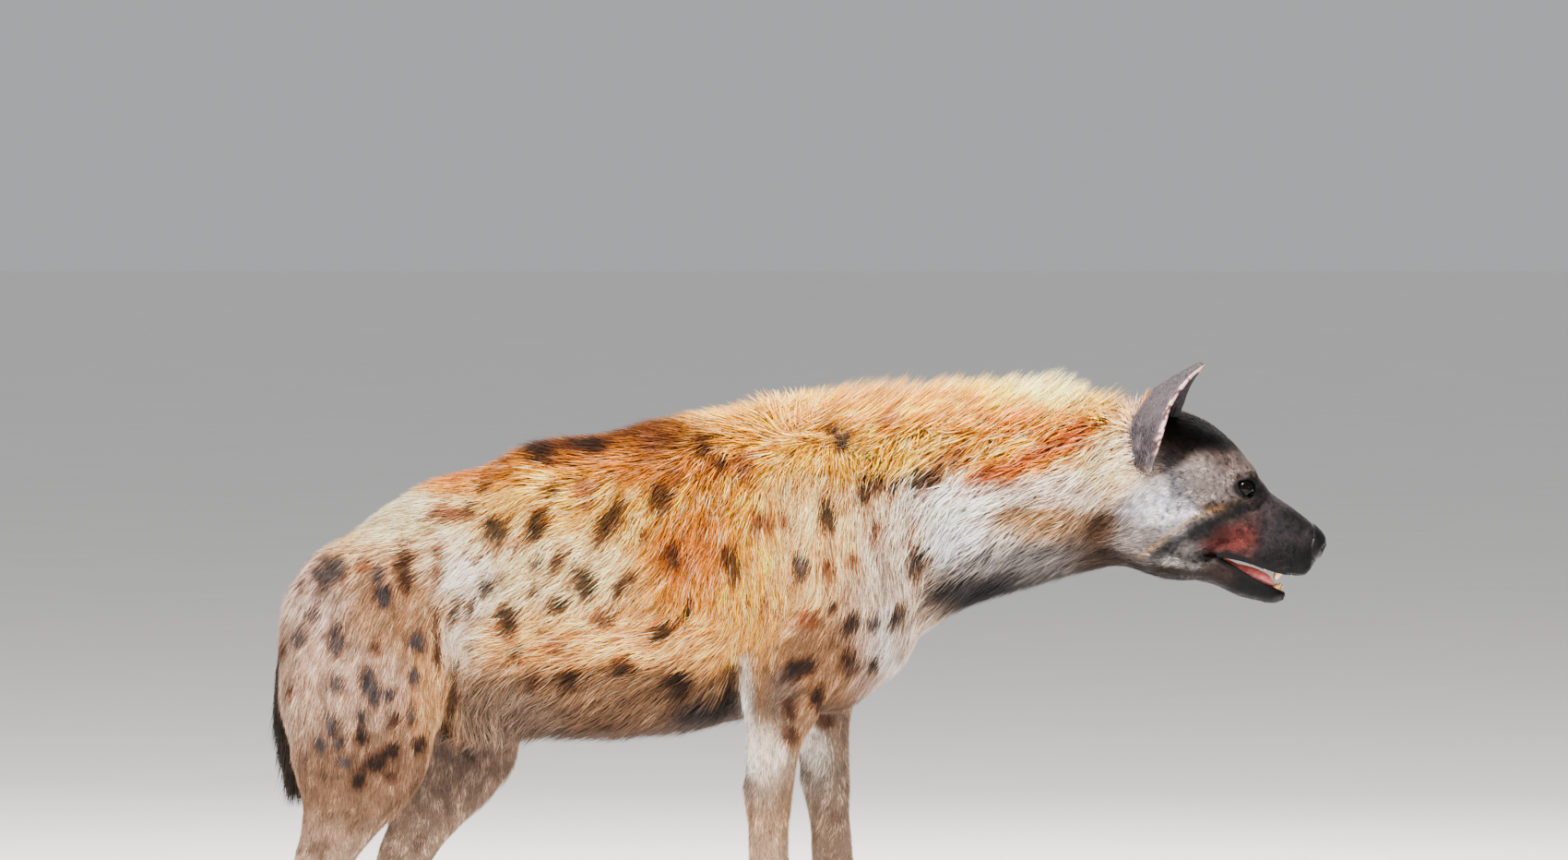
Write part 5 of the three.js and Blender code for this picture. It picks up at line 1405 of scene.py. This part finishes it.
def tuft_colours(roots, lies, lengths, colour_of, colour_at):
    """One colour a tuft: the colour where it lies, painted light included, with pale and dark hairs among
    others.
    """
    number = len(roots)
    at = colour_at * (0.5 + rng.random(number))
    spread = rng.standard_normal((number, 3)) * mix(2.4, 0.8, smoothstep(roots[:, 0], 330, 430))[:, None]
    colour = colour_of(roots + lies * (lengths * at)[:, None] + spread)
    pepper = 0.44 + 0.10 * smoothstep(roots[:, 0], 330, 430)
    tone = 0.80 * streaks(roots, lies, lengths) + 0.40 * noise(roots, 5, 67) + 0.22 * noise(roots, 13, 68)
    colour = colour * (np.exp(tone - 0.08) * (1 + pepper * (2 * rng.random(number) - 1)))[:, None]
    kind = rng.random(number)
    bright = colour.mean(1)
    pale = (kind < ODD_HAIRS) * smoothstep(bright, 0.02, 0.30)
    dark = (kind > 1 - ODD_HAIRS) * smoothstep(bright, 0.05, 0.25)
    colour = mix(colour, colour * 0.75 + PALE_HAIR, pale[:, None])
    colour = mix(colour, colour * DARK_HAIR, dark[:, None])
    return colour * (1 + (rng.random(number) - 0.5)[:, None] * np.array([0.08, 0.0, -0.14]))


RING_SIDES = ((0, 1), (1, 2), (2, 0))


def tufts(name, roots, normals, lies, lengths, lifts, material, slot, rings=1, width=1.0, curl=0.2,
          colour_of=markings_and_painted_light, colour_at=0.5, tip=1.55, base=0.26):
    """Thin, tapered, three-sided tufts that lie along the body. Those with more rings bend back to it."""
    number = len(roots)
    across = np.cross(normals, lies)
    wide = tuft_widths(lengths) * width * (0.7 + 0.6 * rng.random(number))
    sway = (rng.random(number) - 0.5) * 0.22
    spots = []
    for t in [n / rings * 0.86 for n in range(rings)] + [1.0]:
        out = np.sin(lifts) * t * (1 - curl * t)
        middle = roots + lengths[:, None] * (
            lies * (np.cos(lifts) * t)[:, None] + normals * out[:, None] + across * (sway * t * t)[:, None]
        )
        if t == 0:
            middle = middle - normals * 1.2 - lies * 0.6
        if t == 1.0:
            spots.append(middle)
            continue
        half = (wide * 0.5 * (1 - 0.45 * t))[:, None]
        spots += [middle - across * half, middle + across * half, middle + normals * (0.7 * half)]
    points = np.stack(spots, axis=1)
    per = points.shape[1]
    faces = []
    for ring in range(rings - 1):
        for a, b in RING_SIDES:
            low, high = 3 * ring, 3 * ring + 3
            faces += [(low + b, low + a, high + a), (low + b, high + a, high + b)]
    last = 3 * rings - 3
    faces += [(last + b, last + a, per - 1) for a, b in RING_SIDES]
    faces.append((0, 1, 2))
    faces = (np.array(faces)[None] + per * np.arange(number)[:, None, None]).reshape(-1, 3)
    # Each tuft runs from dark at the root to light at the tip: the hair's banding, with painted shade down
    # among the hairs.
    shade = np.array([base + (tip - base) * (k // 3) / rings for k in range(per - 1)] + [tip])
    colours = tuft_colours(roots, lies, lengths, colour_of, colour_at)[:, None, :] * shade[None, :, None]
    local = np.array([(k % 3 / 2, k // 3 / rings) for k in range(per - 1)] + [(0.5, 1.0)])
    uv = unwrap(roots)[:, None, :] + TUFT_PATCH * (local - 0.5)[None]
    colours, uv = colours.reshape(-1, 3), uv.reshape(-1, 2)
    mesh_object(name, points.reshape(-1, 3), faces, material, slot, colours, uv)


def coat_density(p, normal):
    """Tufts for each square millimetre, before the whole is brought to the number wanted."""
    _, length, _ = lie_of(p, normal)
    density = mix(1.5, 3.6, smoothstep(length, 8, 24)) / (0.5 * length * tuft_widths(length))
    density = density * mix(1.0, 0.80, 1 - smoothstep(p[:, 2], 200, 380))
    density = density * mix(1.0, 0.75, smoothstep(to_head(p)[:, 0], 10, 60))
    return density * (1 - bare(p))


LEG_HAIR_TOP = 330
HIND_END = -300  # the hind legs are behind it and the forelegs before it

# Bands of the coat along the body: name, from x, to x, slot
BANDS = [
    ("coat_rump", -900, -430, "coat_body"), ("coat_flank", -430, -130, "coat_body"),
    ("coat_shoulder", -130, 120, "coat_body"), ("coat_neck", 120, 900, "coat_neck"),
]


def coat(points, faces, normals):
    """The whole short and middling coat, cut into pieces by place."""
    centre = points[faces].mean(1)
    density = coat_density(centre, unit(normals[faces].mean(1)))
    roots, out = spread_roots(points, faces, normals, density, TUFT_COUNT)
    lies, lengths, lifts = lie_of(roots, out)
    lengths = lengths * (0.72 + 0.5 * rng.random(len(roots)))
    lengths = lengths * mix(1.0, HEAD_LENGTH, smoothstep(to_head(roots)[:, 0], 30, 80))
    lifts = lifts * (1 + 0.32 * streaks(roots, lies, lengths)) + 0.14 * (rng.random(len(roots)) - 0.5)
    turn = 0.14 * rng.standard_normal(len(roots))
    lies = lies * np.cos(turn)[:, None] + np.cross(out, lies) * np.sin(turn)[:, None]
    head = (to_head(roots)[:, 0] > 8) & (roots[:, 0] > HEAD_START - 20)
    leg = (roots[:, 2] < LEG_HAIR_TOP) & ~head
    body_hair, leg_hair, face_hair = (hair_material(name + "_hair") for name in ("body", "leg", "face"))
    groups = [("coat_head", head, face_hair, "coat_face")]
    for name, side in LEG_SIDE.items():
        near = roots[:, 0] < HIND_END if name.startswith("hind") else roots[:, 0] > HIND_END
        groups.append(("coat_" + name, leg & near & (roots[:, 1] * side > 0), leg_hair, "coat_leg"))
    for name, low, high, slot in BANDS:
        groups.append((name, (roots[:, 0] >= low) & (roots[:, 0] < high) & ~head & ~leg, body_hair, slot))
    for name, here, material, slot in groups:
        index = np.flatnonzero(here)
        index = index[np.argsort(roots[index, 0], kind="stable")]
        pieces = int(math.ceil(len(index) / MOST_IN_A_PIECE))
        for n, part in enumerate(np.array_split(index, pieces)):
            label = name if pieces == 1 else name + "_" + str(n + 1)
            own = [values[part] for values in (roots, out, lies, lengths, lifts)]
            tufts(label, *own, material, slot, width=HEAD_WIDTH if slot == "coat_face" else 1.0)


MANE_START, MANE_SPAN = -100, 480


def crest(points, faces, normals):
    """The long mane from the withers to the nape, leaning forward."""
    centre, out = points[faces].mean(1), unit(normals[faces].mean(1))
    along = (centre[:, 0] - MANE_START) / MANE_SPAN
    here = smoothstep(along, 0, 0.35) * (1 - smoothstep(along, 0.84, 0.93))
    here = here * smoothstep(out[:, 2], 0.55, 0.85) * (centre[:, 2] > 700)
    roots, out = spread_roots(points, faces, normals, here, MANE_COUNT)
    share = (roots[:, 0] - MANE_START) / MANE_SPAN
    grown = smoothstep(share, -0.25, 0.4) * (1 - 0.55 * smoothstep(share, 0.72, 0.97))
    side = roots[:, 1] / 40
    number = len(roots)
    clump = noise(roots, 22, 71)
    forward = 0.72 + 0.18 * clump + 0.12 * (rng.random(number) - 0.5)
    sideways = 0.45 * side + 0.22 * noise(roots, 14, 72)
    heading = unit(np.stack([forward, sideways, 1 - 0.3 * np.abs(side)], axis=1))
    lift = np.arcsin(np.clip((heading * out).sum(1), -0.9, 0.98))
    lies = unit(heading - out * (heading * out).sum(1)[:, None])
    lengths = 60 + 12 * clump + 10 * noise(roots, 8, 73) + 24 * (rng.random(number) - 0.5)
    lengths = lengths * grown * (1 - 0.22 * np.abs(side))
    keep = lengths > 16
    own = [values[keep] for values in (roots, out, lies, lengths, lift)]
    tufts("mane", *own, hair_material("mane_hair", 0.55, 0.04), "coat_neck",
          rings=2, width=0.5, curl=0.16, colour_at=0.35, base=0.62, tip=1.3)


# Head pieces

def ring_quads(rows, sides):
    """The points' numbers, ring by ring, and the four-sided faces between the rings."""
    index = np.arange(rows * sides).reshape(rows, sides)
    after = np.roll(index, -1, axis=1)
    return index, np.stack([index[:-1], after[:-1], after[1:], index[1:]], axis=-1).reshape(-1, 4)


def grid_sweep(rows, sides, place):
    """Points and three-sided faces of a closed tube. place(share, angle) gives arrays of points."""
    turns = np.arange(sides) * 2 * math.pi / sides
    share, angle = np.meshgrid(np.linspace(0, 1, rows + 1), turns, indexing="ij")
    points = place(share.ravel(), angle.ravel())
    index, quads = ring_quads(rows + 1, sides)
    points = np.vstack([points, points[:sides].mean(0), points[-sides:].mean(0)])
    low, high = len(points) - 2, len(points) - 1
    ends = [(index[0][(n + 1) % sides], index[0][n], low) for n in range(sides)]
    ends += [(index[-1][n], index[-1][(n + 1) % sides], high) for n in range(sides)]
    return points, facing_out(points, np.vstack([halved(quads), ends]))


def facing_out(points, faces):
    """The faces of a closed mesh, turned round if they face inwards."""
    corner = points[faces] - points.mean(0)
    volume = (np.cross(corner[:, 0], corner[:, 1]) * corner[:, 2]).sum()
    return faces if volume > 0 else faces[:, ::-1]


def joined(parts):
    """Points and faces of several meshes as one."""
    points, faces, start = [], [], 0
    for p, f in parts:
        points.append(p)
        faces.append(f + start)
        start += len(p)
    return np.vstack(points), np.vstack(faces)


def tooth(u, v, y, tall, wide, lean):
    def place(share, angle):
        full = wide * np.sqrt(np.maximum(0, 1 - share ** 2.2)) * (1 - 0.12 * np.cos(2 * angle) * share)
        along = u + lean * share + full * np.cos(angle)
        return from_head(along, v + tall * share, y + 0.8 * full * np.sin(angle))

    return grid_sweep(9, 14, place)


def teeth():
    parts = []
    for u, v, y, *sizes in UPPER_TEETH + LOWER_TEETH:
        for side in (-1, 1):
            parts.append(tooth(u, v, side * y, *sizes))
    for v, u, wide, tall, spread in FRONT_TEETH:
        for n in (-1.5, -0.5, 0.5, 1.5):
            parts.append(tooth(u - 1.6 * n * n, v, n * spread * 0.72, tall, wide, 0))
    mesh_object("teeth", *joined(parts), listed("worn_tooth"), "tooth")


def tongue():
    mid, wide, thick = (Curve(TONGUE, n) for n in (1, 2, 3))
    back, tip = TONGUE[0][0], TONGUE[-1][0]

    def place(share, angle):
        u = back + (tip - back) * share
        c, s = np.cos(angle), np.sin(angle)
        groove = 2.0 * np.exp(-(s / 0.25) ** 2) * (c > 0) * smoothstep(share, 0.1, 0.4)
        rounded = np.sqrt(np.clip(1 - np.maximum(0, (share - 0.8) / 0.2) ** 2.2, 0.0, 1))
        rise = thick(u) * c * (0.35 + 0.65 * rounded) - groove
        return from_head(u, mid(u) + rise, wide(u) * s * (0.3 + 0.7 * rounded))

    points, faces = grid_sweep(28, 32, place)
    obj = mesh_object("tongue_flesh", points, faces, listed("tongue"), "mouth_flesh")
    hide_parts("tongue")


def nose():
    centre = from_head(238, 30, 0)
    low, high = centre - np.array([36, 46, 42]), centre + np.array([30, 46, 36])
    points, quads = largest_part(*skin_mesh(nose_surface, low, high, NOSE_STEP))
    obj = mesh_object("nose_pad", points, quads, listed("nose_skin"), "nose_skin")
    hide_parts("nose")


# The iris and the white are near black: the eye's own dark brown, deepened as painted shade.
IRIS, PUPIL, WHITE = srgb(0.026, 0.015, 0.011), srgb(0.003, 0.003, 0.004), srgb(0.02, 0.016, 0.015)
EYE_ROWS, EYE_COLUMNS = 33, 48


def eyeball(name, side):
    """A ball with a bulging cornea. theta runs from the pupil to the back, phi round the look."""
    centre, look, long_axis, up = eye_frame(side)
    turns = np.arange(EYE_COLUMNS) * 2 * math.pi / EYE_COLUMNS
    theta, phi = np.meshgrid(np.linspace(0, math.pi, EYE_ROWS), turns, indexing="ij")
    theta, phi = theta.ravel(), phi.ravel()
    bulge = np.exp(-(theta / 0.42) ** 4)
    radius = EYE["radius"] - 0.2 + bulge
    ring = np.cos(phi)[:, None] * long_axis + np.sin(phi)[:, None] * up
    h = centre + radius[:, None] * (np.cos(theta)[:, None] * look + np.sin(theta)[:, None] * ring)
    points = from_head(h[:, 0], h[:, 2], h[:, 1])
    faces = facing_out(points, halved(ring_quads(EYE_ROWS, EYE_COLUMNS)[1]))
    iris = (1 - smoothstep(theta, 0.55, 0.66))[:, None]
    pupil = (1 - smoothstep(theta, 0.22, 0.27))[:, None]
    colour = mix(mix(np.tile(WHITE, (len(theta), 1)), IRIS, iris), PUPIL, pupil)
    rim = np.exp(-((theta - 0.62) / 0.07) ** 2)[:, None]
    colour = mix(colour, PUPIL, 0.8 * rim)
    obj = mesh_object("eyeball_" + name, points, faces, EYE_MATERIAL, "eye", colour)
    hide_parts("eye_" + name)


def ear_point(s, t):
    """A point of the left ear's sheet: s from root to tip, t from -1 (inner margin) to 1 (outer margin)."""
    back, outer, inner = (catmull(EAR[key], s) for key in ("back", "outer", "inner"))
    rounded = np.sqrt(np.maximum(0, 1 - np.maximum(0, (s - 0.72) / 0.28) ** 2.2))
    t = t[:, None]
    across = (outer - inner) * 0.5 * t
    deep = ((outer + inner) / 2 - back) * t * t
    return back + across * (0.25 + 0.75 * rounded[:, None]) + deep


def ear_sheet(s, t):
    """Points of the ear's sheet and the direction out of it there."""
    point = ear_point(s, t)
    step = 0.01
    low, high = np.clip(s - step, 0, 1), np.clip(s + step, 0, 1)
    along_s = ear_point(high, t) - ear_point(low, t)
    along_t = ear_point(s, t + step) - ear_point(s, t - step)
    return point, unit(np.cross(along_s, along_t))


# The inner colour is the cup's dark skin, deepened by painted shade in the hollow.
EAR_BACK_COLOUR, EAR_INNER_COLOUR = srgb(0.19, 0.165, 0.18), srgb(0.06, 0.05, 0.056)
EAR_ROOT_COLOUR = srgb(0.50, 0.42, 0.36)
EAR_ROOT_EDGE = (1210, 1228, 440, 480)  # photo pixels: from and to across, from and to down
EAR_ROWS, EAR_COLUMNS = 46, 40
FAR_EAR_TURN = (4.0, -1.0, -6.0)  # the far ear's tip is turned a little forward and down
EAR_RIM_COLOUR, EAR_SCAB_COLOUR = srgb(0.70, 0.56, 0.56), srgb(0.20, 0.06, 0.065)


def ear_back_colour(p):
    """Mauve grey, with cream hair from the neck over the rear edge of the root, and some flecks."""
    x, y = to_photo(p)
    left, right, high, low = EAR_ROOT_EDGE
    cream = (1 - smoothstep(x + 5 * noise(p, 6, 85), left, right)) * smoothstep(y, high, low)
    cream = np.maximum(cream, smoothstep(y + 6 * noise(p, 6, 86), 500, 520))
    colour = mix(np.tile(EAR_BACK_COLOUR, (len(p), 1)), EAR_ROOT_COLOUR, cream[:, None])
    return colour * (1 + 0.30 * noise(p, 2.6, 87) + 0.2 * noise(p, 9, 88))[:, None]


def ear(name, side):
    """A cup with a thick, worn rim, and the hair on it."""
    rows, columns = EAR_ROWS, EAR_COLUMNS
    across = np.sin(np.linspace(-1, 1, columns) * math.pi / 2)
    s, t = np.meshgrid(np.linspace(0, 1, rows), across, indexing="ij")
    s, t = s.ravel(), t.ravel()
    point, normal = ear_sheet(s, t)
    thick = EAR_THICKNESS["rim"] + (EAR_THICKNESS["root"] - EAR_THICKNESS["rim"]) * (1 - s) * (1 - t * t)
    edge = smoothstep(np.abs(t), 0.93, 1.0)
    lumps = noise(point, 2.6, 81) * 0.6 + noise(point, 5.5, 82) * 0.5
    thick = thick * 0.86 + edge * (0.7 + 1.0 * lumps)
    half = normal * (thick / 2)[:, None]
    points = np.vstack([point + half, point - half])
    index = np.arange(rows * columns).reshape(rows, columns)
    quads = np.stack([index[:-1, :-1], index[:-1, 1:], index[1:, 1:], index[1:, :-1]], axis=-1).reshape(-1, 4)
    size = rows * columns
    border = np.concatenate([index[0, :-1], index[:-1, -1], index[-1, :0:-1], index[:0:-1, 0]])
    after = np.roll(border, -1)
    rim = np.stack([border, border + size, after + size, after], axis=1)
    faces = halved(np.vstack([quads, quads[:, ::-1] + size, rim]))
    colour_out = ear_back_colour(point)
    colour_in = np.tile(EAR_INNER_COLOUR, (size, 1))
    scab = smoothstep(noise(point, 3.2, 83) + 0.4 * noise(point, 1.6, 84), -0.1, 0.25)[:, None]
    crust = mix(EAR_RIM_COLOUR, EAR_SCAB_COLOUR, scab)
    near = smoothstep(np.abs(t) + 0.04 * lumps, 0.91, 0.97) * smoothstep(s, 0.08, 0.2)
    near = (near * np.maximum(smoothstep(t, -0.3, 0.3), smoothstep(s, 0.72, 0.9)))[:, None]
    colours = np.vstack([mix(colour_out, crust, near), mix(colour_in, crust, near)])
    both = np.concatenate([s, s])
    if side > 0:
        points = points + both[:, None] * np.array(FAR_EAR_TURN)
    points[:, 1] *= side
    faces = facing_out(points, faces)
    obj = mesh_object("ear_cup_" + name, points, faces, EAR_MATERIAL, "coat_ear", colours)
    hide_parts("ear_" + name)
    ear_fur(name, points, faces, both, np.concatenate([t, t]))


def ear_fur(name, points, faces, s, t):
    """Short hair on the back of the ear, longer and paler at its root, and dark hair in the cup."""
    normals = point_normals(points, faces)
    number, half = np.arange(len(points)), len(points) // 2
    outer = number < half
    tip_side = np.minimum(number + EAR_COLUMNS, np.where(outer, half, 2 * half) - 1)
    along = unit(points[tip_side] - points + 1e-6)
    root = 1 - smoothstep(s, 0.05, 0.40)
    density = np.where(outer, 1.0 + root, 0.8 * (1 - smoothstep(s, 0.3, 0.8)))
    density = density * (1 - smoothstep(np.abs(t), 0.86, 0.95))
    roots, out = spread_roots(points, faces, normals, density[faces].mean(1), EAR_TUFTS)
    nearest = faces[nearest_face(roots, points, faces)]
    lies = unit(along[nearest].mean(1))
    lies = unit(lies - out * (lies * out).sum(1)[:, None] + 0.12 * rng.standard_normal(lies.shape))
    lengths = mix(6.0, 17.0, root[nearest].mean(1)) * (0.75 + 0.5 * rng.random(len(roots)))
    lifts = np.full(len(roots), 0.22) * (0.6 + 0.8 * rng.random(len(roots)))
    back = outer[nearest].mean(1)

    def colour_of(p):
        return mix(np.tile(EAR_INNER_COLOUR, (len(p), 1)), ear_back_colour(p), back[:, None])

    tufts("ear_hair_" + name, roots, out, lies, lengths, lifts, EAR_HAIR, "coat_ear", colour_of=colour_of)


def nearest_face(roots, points, faces):
    """The face whose middle is nearest to each root."""
    middle = points[faces].mean(1)
    tree = KDTree(len(middle))
    for n, at in enumerate(middle):
        tree.insert(at, n)
    tree.balance()
    return np.array([tree.find(at)[1] for at in roots])


# Feet, tail and the rest

def claws():
    parts = []
    for name in LEGS:
        foot = FEET[name.split("_")[0]]
        curves, side = LEG_CURVES[name], LEG_SIDE[name]
        x, y = float(curves[1](PAW_HEIGHT)), side * float(curves[2](PAW_HEIGHT))
        size = foot["toe"] * 0.95
        for across, behind in TOES:
            start = x + foot["reach"] - behind + foot["toe"] * 1.25 - CLAW_BACK
            sideways, height = y + side * across * foot["half_width"], foot["toe"] + 3

            def place(share, angle):
                taper = np.sqrt(np.maximum(0, 1 - share ** 1.8)) * (1 - 0.1 * np.cos(2 * angle))
                full = size * CLAW_RADIUS * taper
                rise = full * np.cos(angle)
                return np.stack([
                    start + size * CLAW_REACH * share + 0.3 * rise,
                    sideways + 0.86 * full * np.sin(angle),
                    height - size * CLAW_DROP * share * share + rise,
                ], axis=1)

            parts.append(grid_sweep(12, 14, place))
    mesh_object("claws", *joined(parts), listed("claw_horn"), "claw")


TAIL_COAT = 4.5  # how far the tail's core lies below the coat's surface
TAIL_DARK, TAIL_ROOT = srgb(0.10, 0.075, 0.06), srgb(0.40, 0.31, 0.25)


def tail():
    """A core that runs down behind the rump, and the brush of hair on it."""
    rows = np.array([(x, 0, z) for x, z, _ in TAIL], float)
    radius = Curve([(z, r) for _, z, r in TAIL], 1)

    def place(share, angle):
        middle = catmull(rows, share)
        before, after = (catmull(rows, np.clip(share + step, 0, 1)) for step in (-0.01, 0.01))
        across = np.array([0.0, 1, 0])
        back = np.cross(unit(after - before), across)
        rounded = np.sqrt(np.maximum(0.0, 1 - np.maximum(0, (share - 0.94) / 0.06) ** 2))
        full = (radius(middle[:, 2]) - TAIL_COAT) * rounded
        return middle + full[:, None] * (np.cos(angle)[:, None] * back + np.sin(angle)[:, None] * across)

    points, faces = grid_sweep(60, 24, place)
    normals = point_normals(points, faces)

    def tail_colour(p):
        top = smoothstep(p[:, 2], 470, 570)[:, None]
        return mix(TAIL_DARK, TAIL_ROOT, top) * (1 + 0.25 * noise(p, 12, 91))[:, None]

    obj = mesh_object("tail_core", points, faces, TAIL_HAIR, "coat_tail", tail_colour(points) * 0.7)
    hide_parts("tail")
    roots, out = spread_roots(points, faces, normals, np.ones(len(faces)), TAIL_TUFTS)
    number = len(roots)
    brush = 1 - smoothstep(roots[:, 2], 440, 510)
    down = np.tile(np.array([0.04, 0.0, -1.0]), (number, 1)) + 0.10 * rng.standard_normal((number, 3))
    lies = unit(down - out * (down * out).sum(1)[:, None])
    lengths = mix(20.0, 74.0, brush) * (0.75 + 0.4 * rng.random(number))
    lengths = np.minimum(lengths, np.maximum(roots[:, 2] - 282, 14))
    lifts = np.radians(mix(15.0, 19.0, brush)) * (0.7 + 0.6 * rng.random(number))
    tufts("tail_brush", roots, out, lies, lengths, lifts, TAIL_HAIR, "coat_tail", rings=2, width=0.45,
          curl=0.55, colour_of=tail_colour, colour_at=0.4)


WHISKER_RADIUS = 0.36


def whiskers():
    """Long dark hairs on the pads beside the nose and over the eyes."""
    spots = []
    for row in range(4):
        for n in range(5):
            spots.append((218 - 9 * n - 2 * row, -2 + 6.5 * row, 34 + 8 * rng.random()))
    spots += [(122 - 4 * n, 74 + 2 * n, 30.0) for n in range(4)]
    parts = []
    for u, v, length in spots:
        for side in (-1, 1):
            y = float(HEAD_CURVES[3](u)) + 6
            forward = -0.35 + 0.2 * rng.standard_normal()
            heading = unit(np.array([forward, side * 0.85, 0.02 + 0.25 * rng.standard_normal()]))
            probe = np.array([[u, side * (y - k * 0.5), v] for k in range(60)])
            start = probe[np.argmax(skull_surface(probe) < -1.5)]

            def place(share, angle):
                thin = WHISKER_RADIUS * (1 - 0.85 * share)
                bend = np.stack([-0.25 * share ** 2, 0 * share, -0.22 * share ** 2], axis=1) * length
                h = start + heading * (share * length)[:, None] + bend
                h = h + np.stack([np.cos(angle), 0 * angle, np.sin(angle)], axis=1) * thin[:, None]
                return from_head(h[:, 0], h[:, 2], h[:, 1])

            parts.append(grid_sweep(8, 5, place))
    points, faces = joined(parts)
    colours = np.tile(srgb(0.10, 0.09, 0.09), (len(points), 1))
    mesh_object("whiskers", points, faces, hair_material("whisker", 0.4), "coat_face", colours)


# Floor, light and camera

FLOOR_SIZE = 60.0
FLOOR_RAMP = [(0.3, (0.985, 0.98, 0.97)), (0.7, (0.985 * 0.985, 0.98 * 0.985, 0.97 * 0.985))]
SKY, SKY_STRENGTH = (0.90, 0.91, 0.93, 1), 0.5


def stage():
    mesh = bpy.data.meshes.new("floor")
    corners = [(x * FLOOR_SIZE, y * FLOOR_SIZE, 0) for x, y in ((-1, -1), (1, -1), (1, 1), (-1, 1))]
    mesh.from_pydata(corners, [], [(0, 1, 2, 3)])
    floor = linked("floor", mesh)
    mesh.materials.append(made("pale_floor", 0.95, 0.2, (3, 3, FLOOR_RAMP)))
    world = bpy.data.worlds.new("studio")
    world.use_nodes = True
    background = world.node_tree.nodes["Background"].inputs
    background["Color"].default_value = SKY
    background["Strength"].default_value = SKY_STRENGTH
    bpy.context.scene.world = world


def look_at(obj, place, target):
    """Puts a lamp at a place and turns it towards a target."""
    obj.location = place
    direction = np.array(target, float) - np.array(place, float)
    flat = math.hypot(direction[0], direction[1])
    obj.rotation_euler = (math.atan2(flat, -direction[2]), 0, math.atan2(-direction[0], direction[1]))


# Name, place, size, power and colour
LIGHTS = [
    ("key", (-1.1, -2.7, 4.3), 0.7, 1900, (1.0, 0.96, 0.90)),
    ("fill", (3.4, -2.6, 1.8), 2.6, 60, (0.93, 0.96, 1.0)),
    ("rim", (0.6, 3.2, 3.0), 2.2, 200, (1.0, 0.98, 0.95)),
]


def lights():
    for name, place, size, power, colour in LIGHTS:
        lamp = bpy.data.lights.new(name, "AREA")
        lamp.shape = "DISK"
        lamp.size = size
        lamp.energy = power
        lamp.color = colour
        look_at(linked(name, lamp), place, (0.0, 0.0, 0.5))


CAMERA_PLACE = np.array([-34.0, -16000.0, 1200.0])
SENSOR_WIDTH = 36.0


def camera():
    """The photo's view: its width and its pixels for each millimetre, with the horizon in its place."""
    data = bpy.data.cameras.new("camera")
    data.sensor_width = SENSOR_WIDTH
    width = PHOTO_SIZE[0] / PHOTO_SCALE
    data.lens = SENSOR_WIDTH * -CAMERA_PLACE[1] / width
    data.clip_end = 200
    obj = linked("camera", data)
    obj.location = in_metres(CAMERA_PLACE)
    horizon = PHOTO_ORIGIN[1] - PHOTO_SCALE * CAMERA_PLACE[2]
    down = math.atan2((PHOTO_SIZE[1] / 2 - horizon) / PHOTO_SCALE, -CAMERA_PLACE[1])
    obj.rotation_euler = (math.pi / 2 - down, 0, 0)
    bpy.context.scene.camera = obj


EYE_MATERIAL = listed("eye", **{"Coat Weight": 0.06, "Coat Roughness": 0.02})
EAR_MATERIAL = listed("ear_skin")
EAR_HAIR = hair_material("ear_hair", 0.7)
TAIL_HAIR = hair_material("tail_hair", 0.5)

camera()
lights()
stage()

skin_points, skin_faces = whole_skin()
skin_normals = point_normals(skin_points, skin_faces)
skin = mesh_object("skin", skin_points, skin_faces, listed("skin"), "coat_body", skin_colour(skin_points))
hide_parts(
    "torso", "neck", "head", "lower_jaw",
    "foreleg_right", "foreleg_left", "hindleg_right", "hindleg_left",
    "paw_fore_right", "paw_fore_left", "paw_hind_right", "paw_hind_left",
)
coat(skin_points, skin_faces, skin_normals)
crest(skin_points, skin_faces, skin_normals)
nose()
tongue()
teeth()
for side_name, side in (("right", -1), ("left", 1)):
    eyeball(side_name, side)
    ear(side_name, side)
claws()
tail()
whiskers()
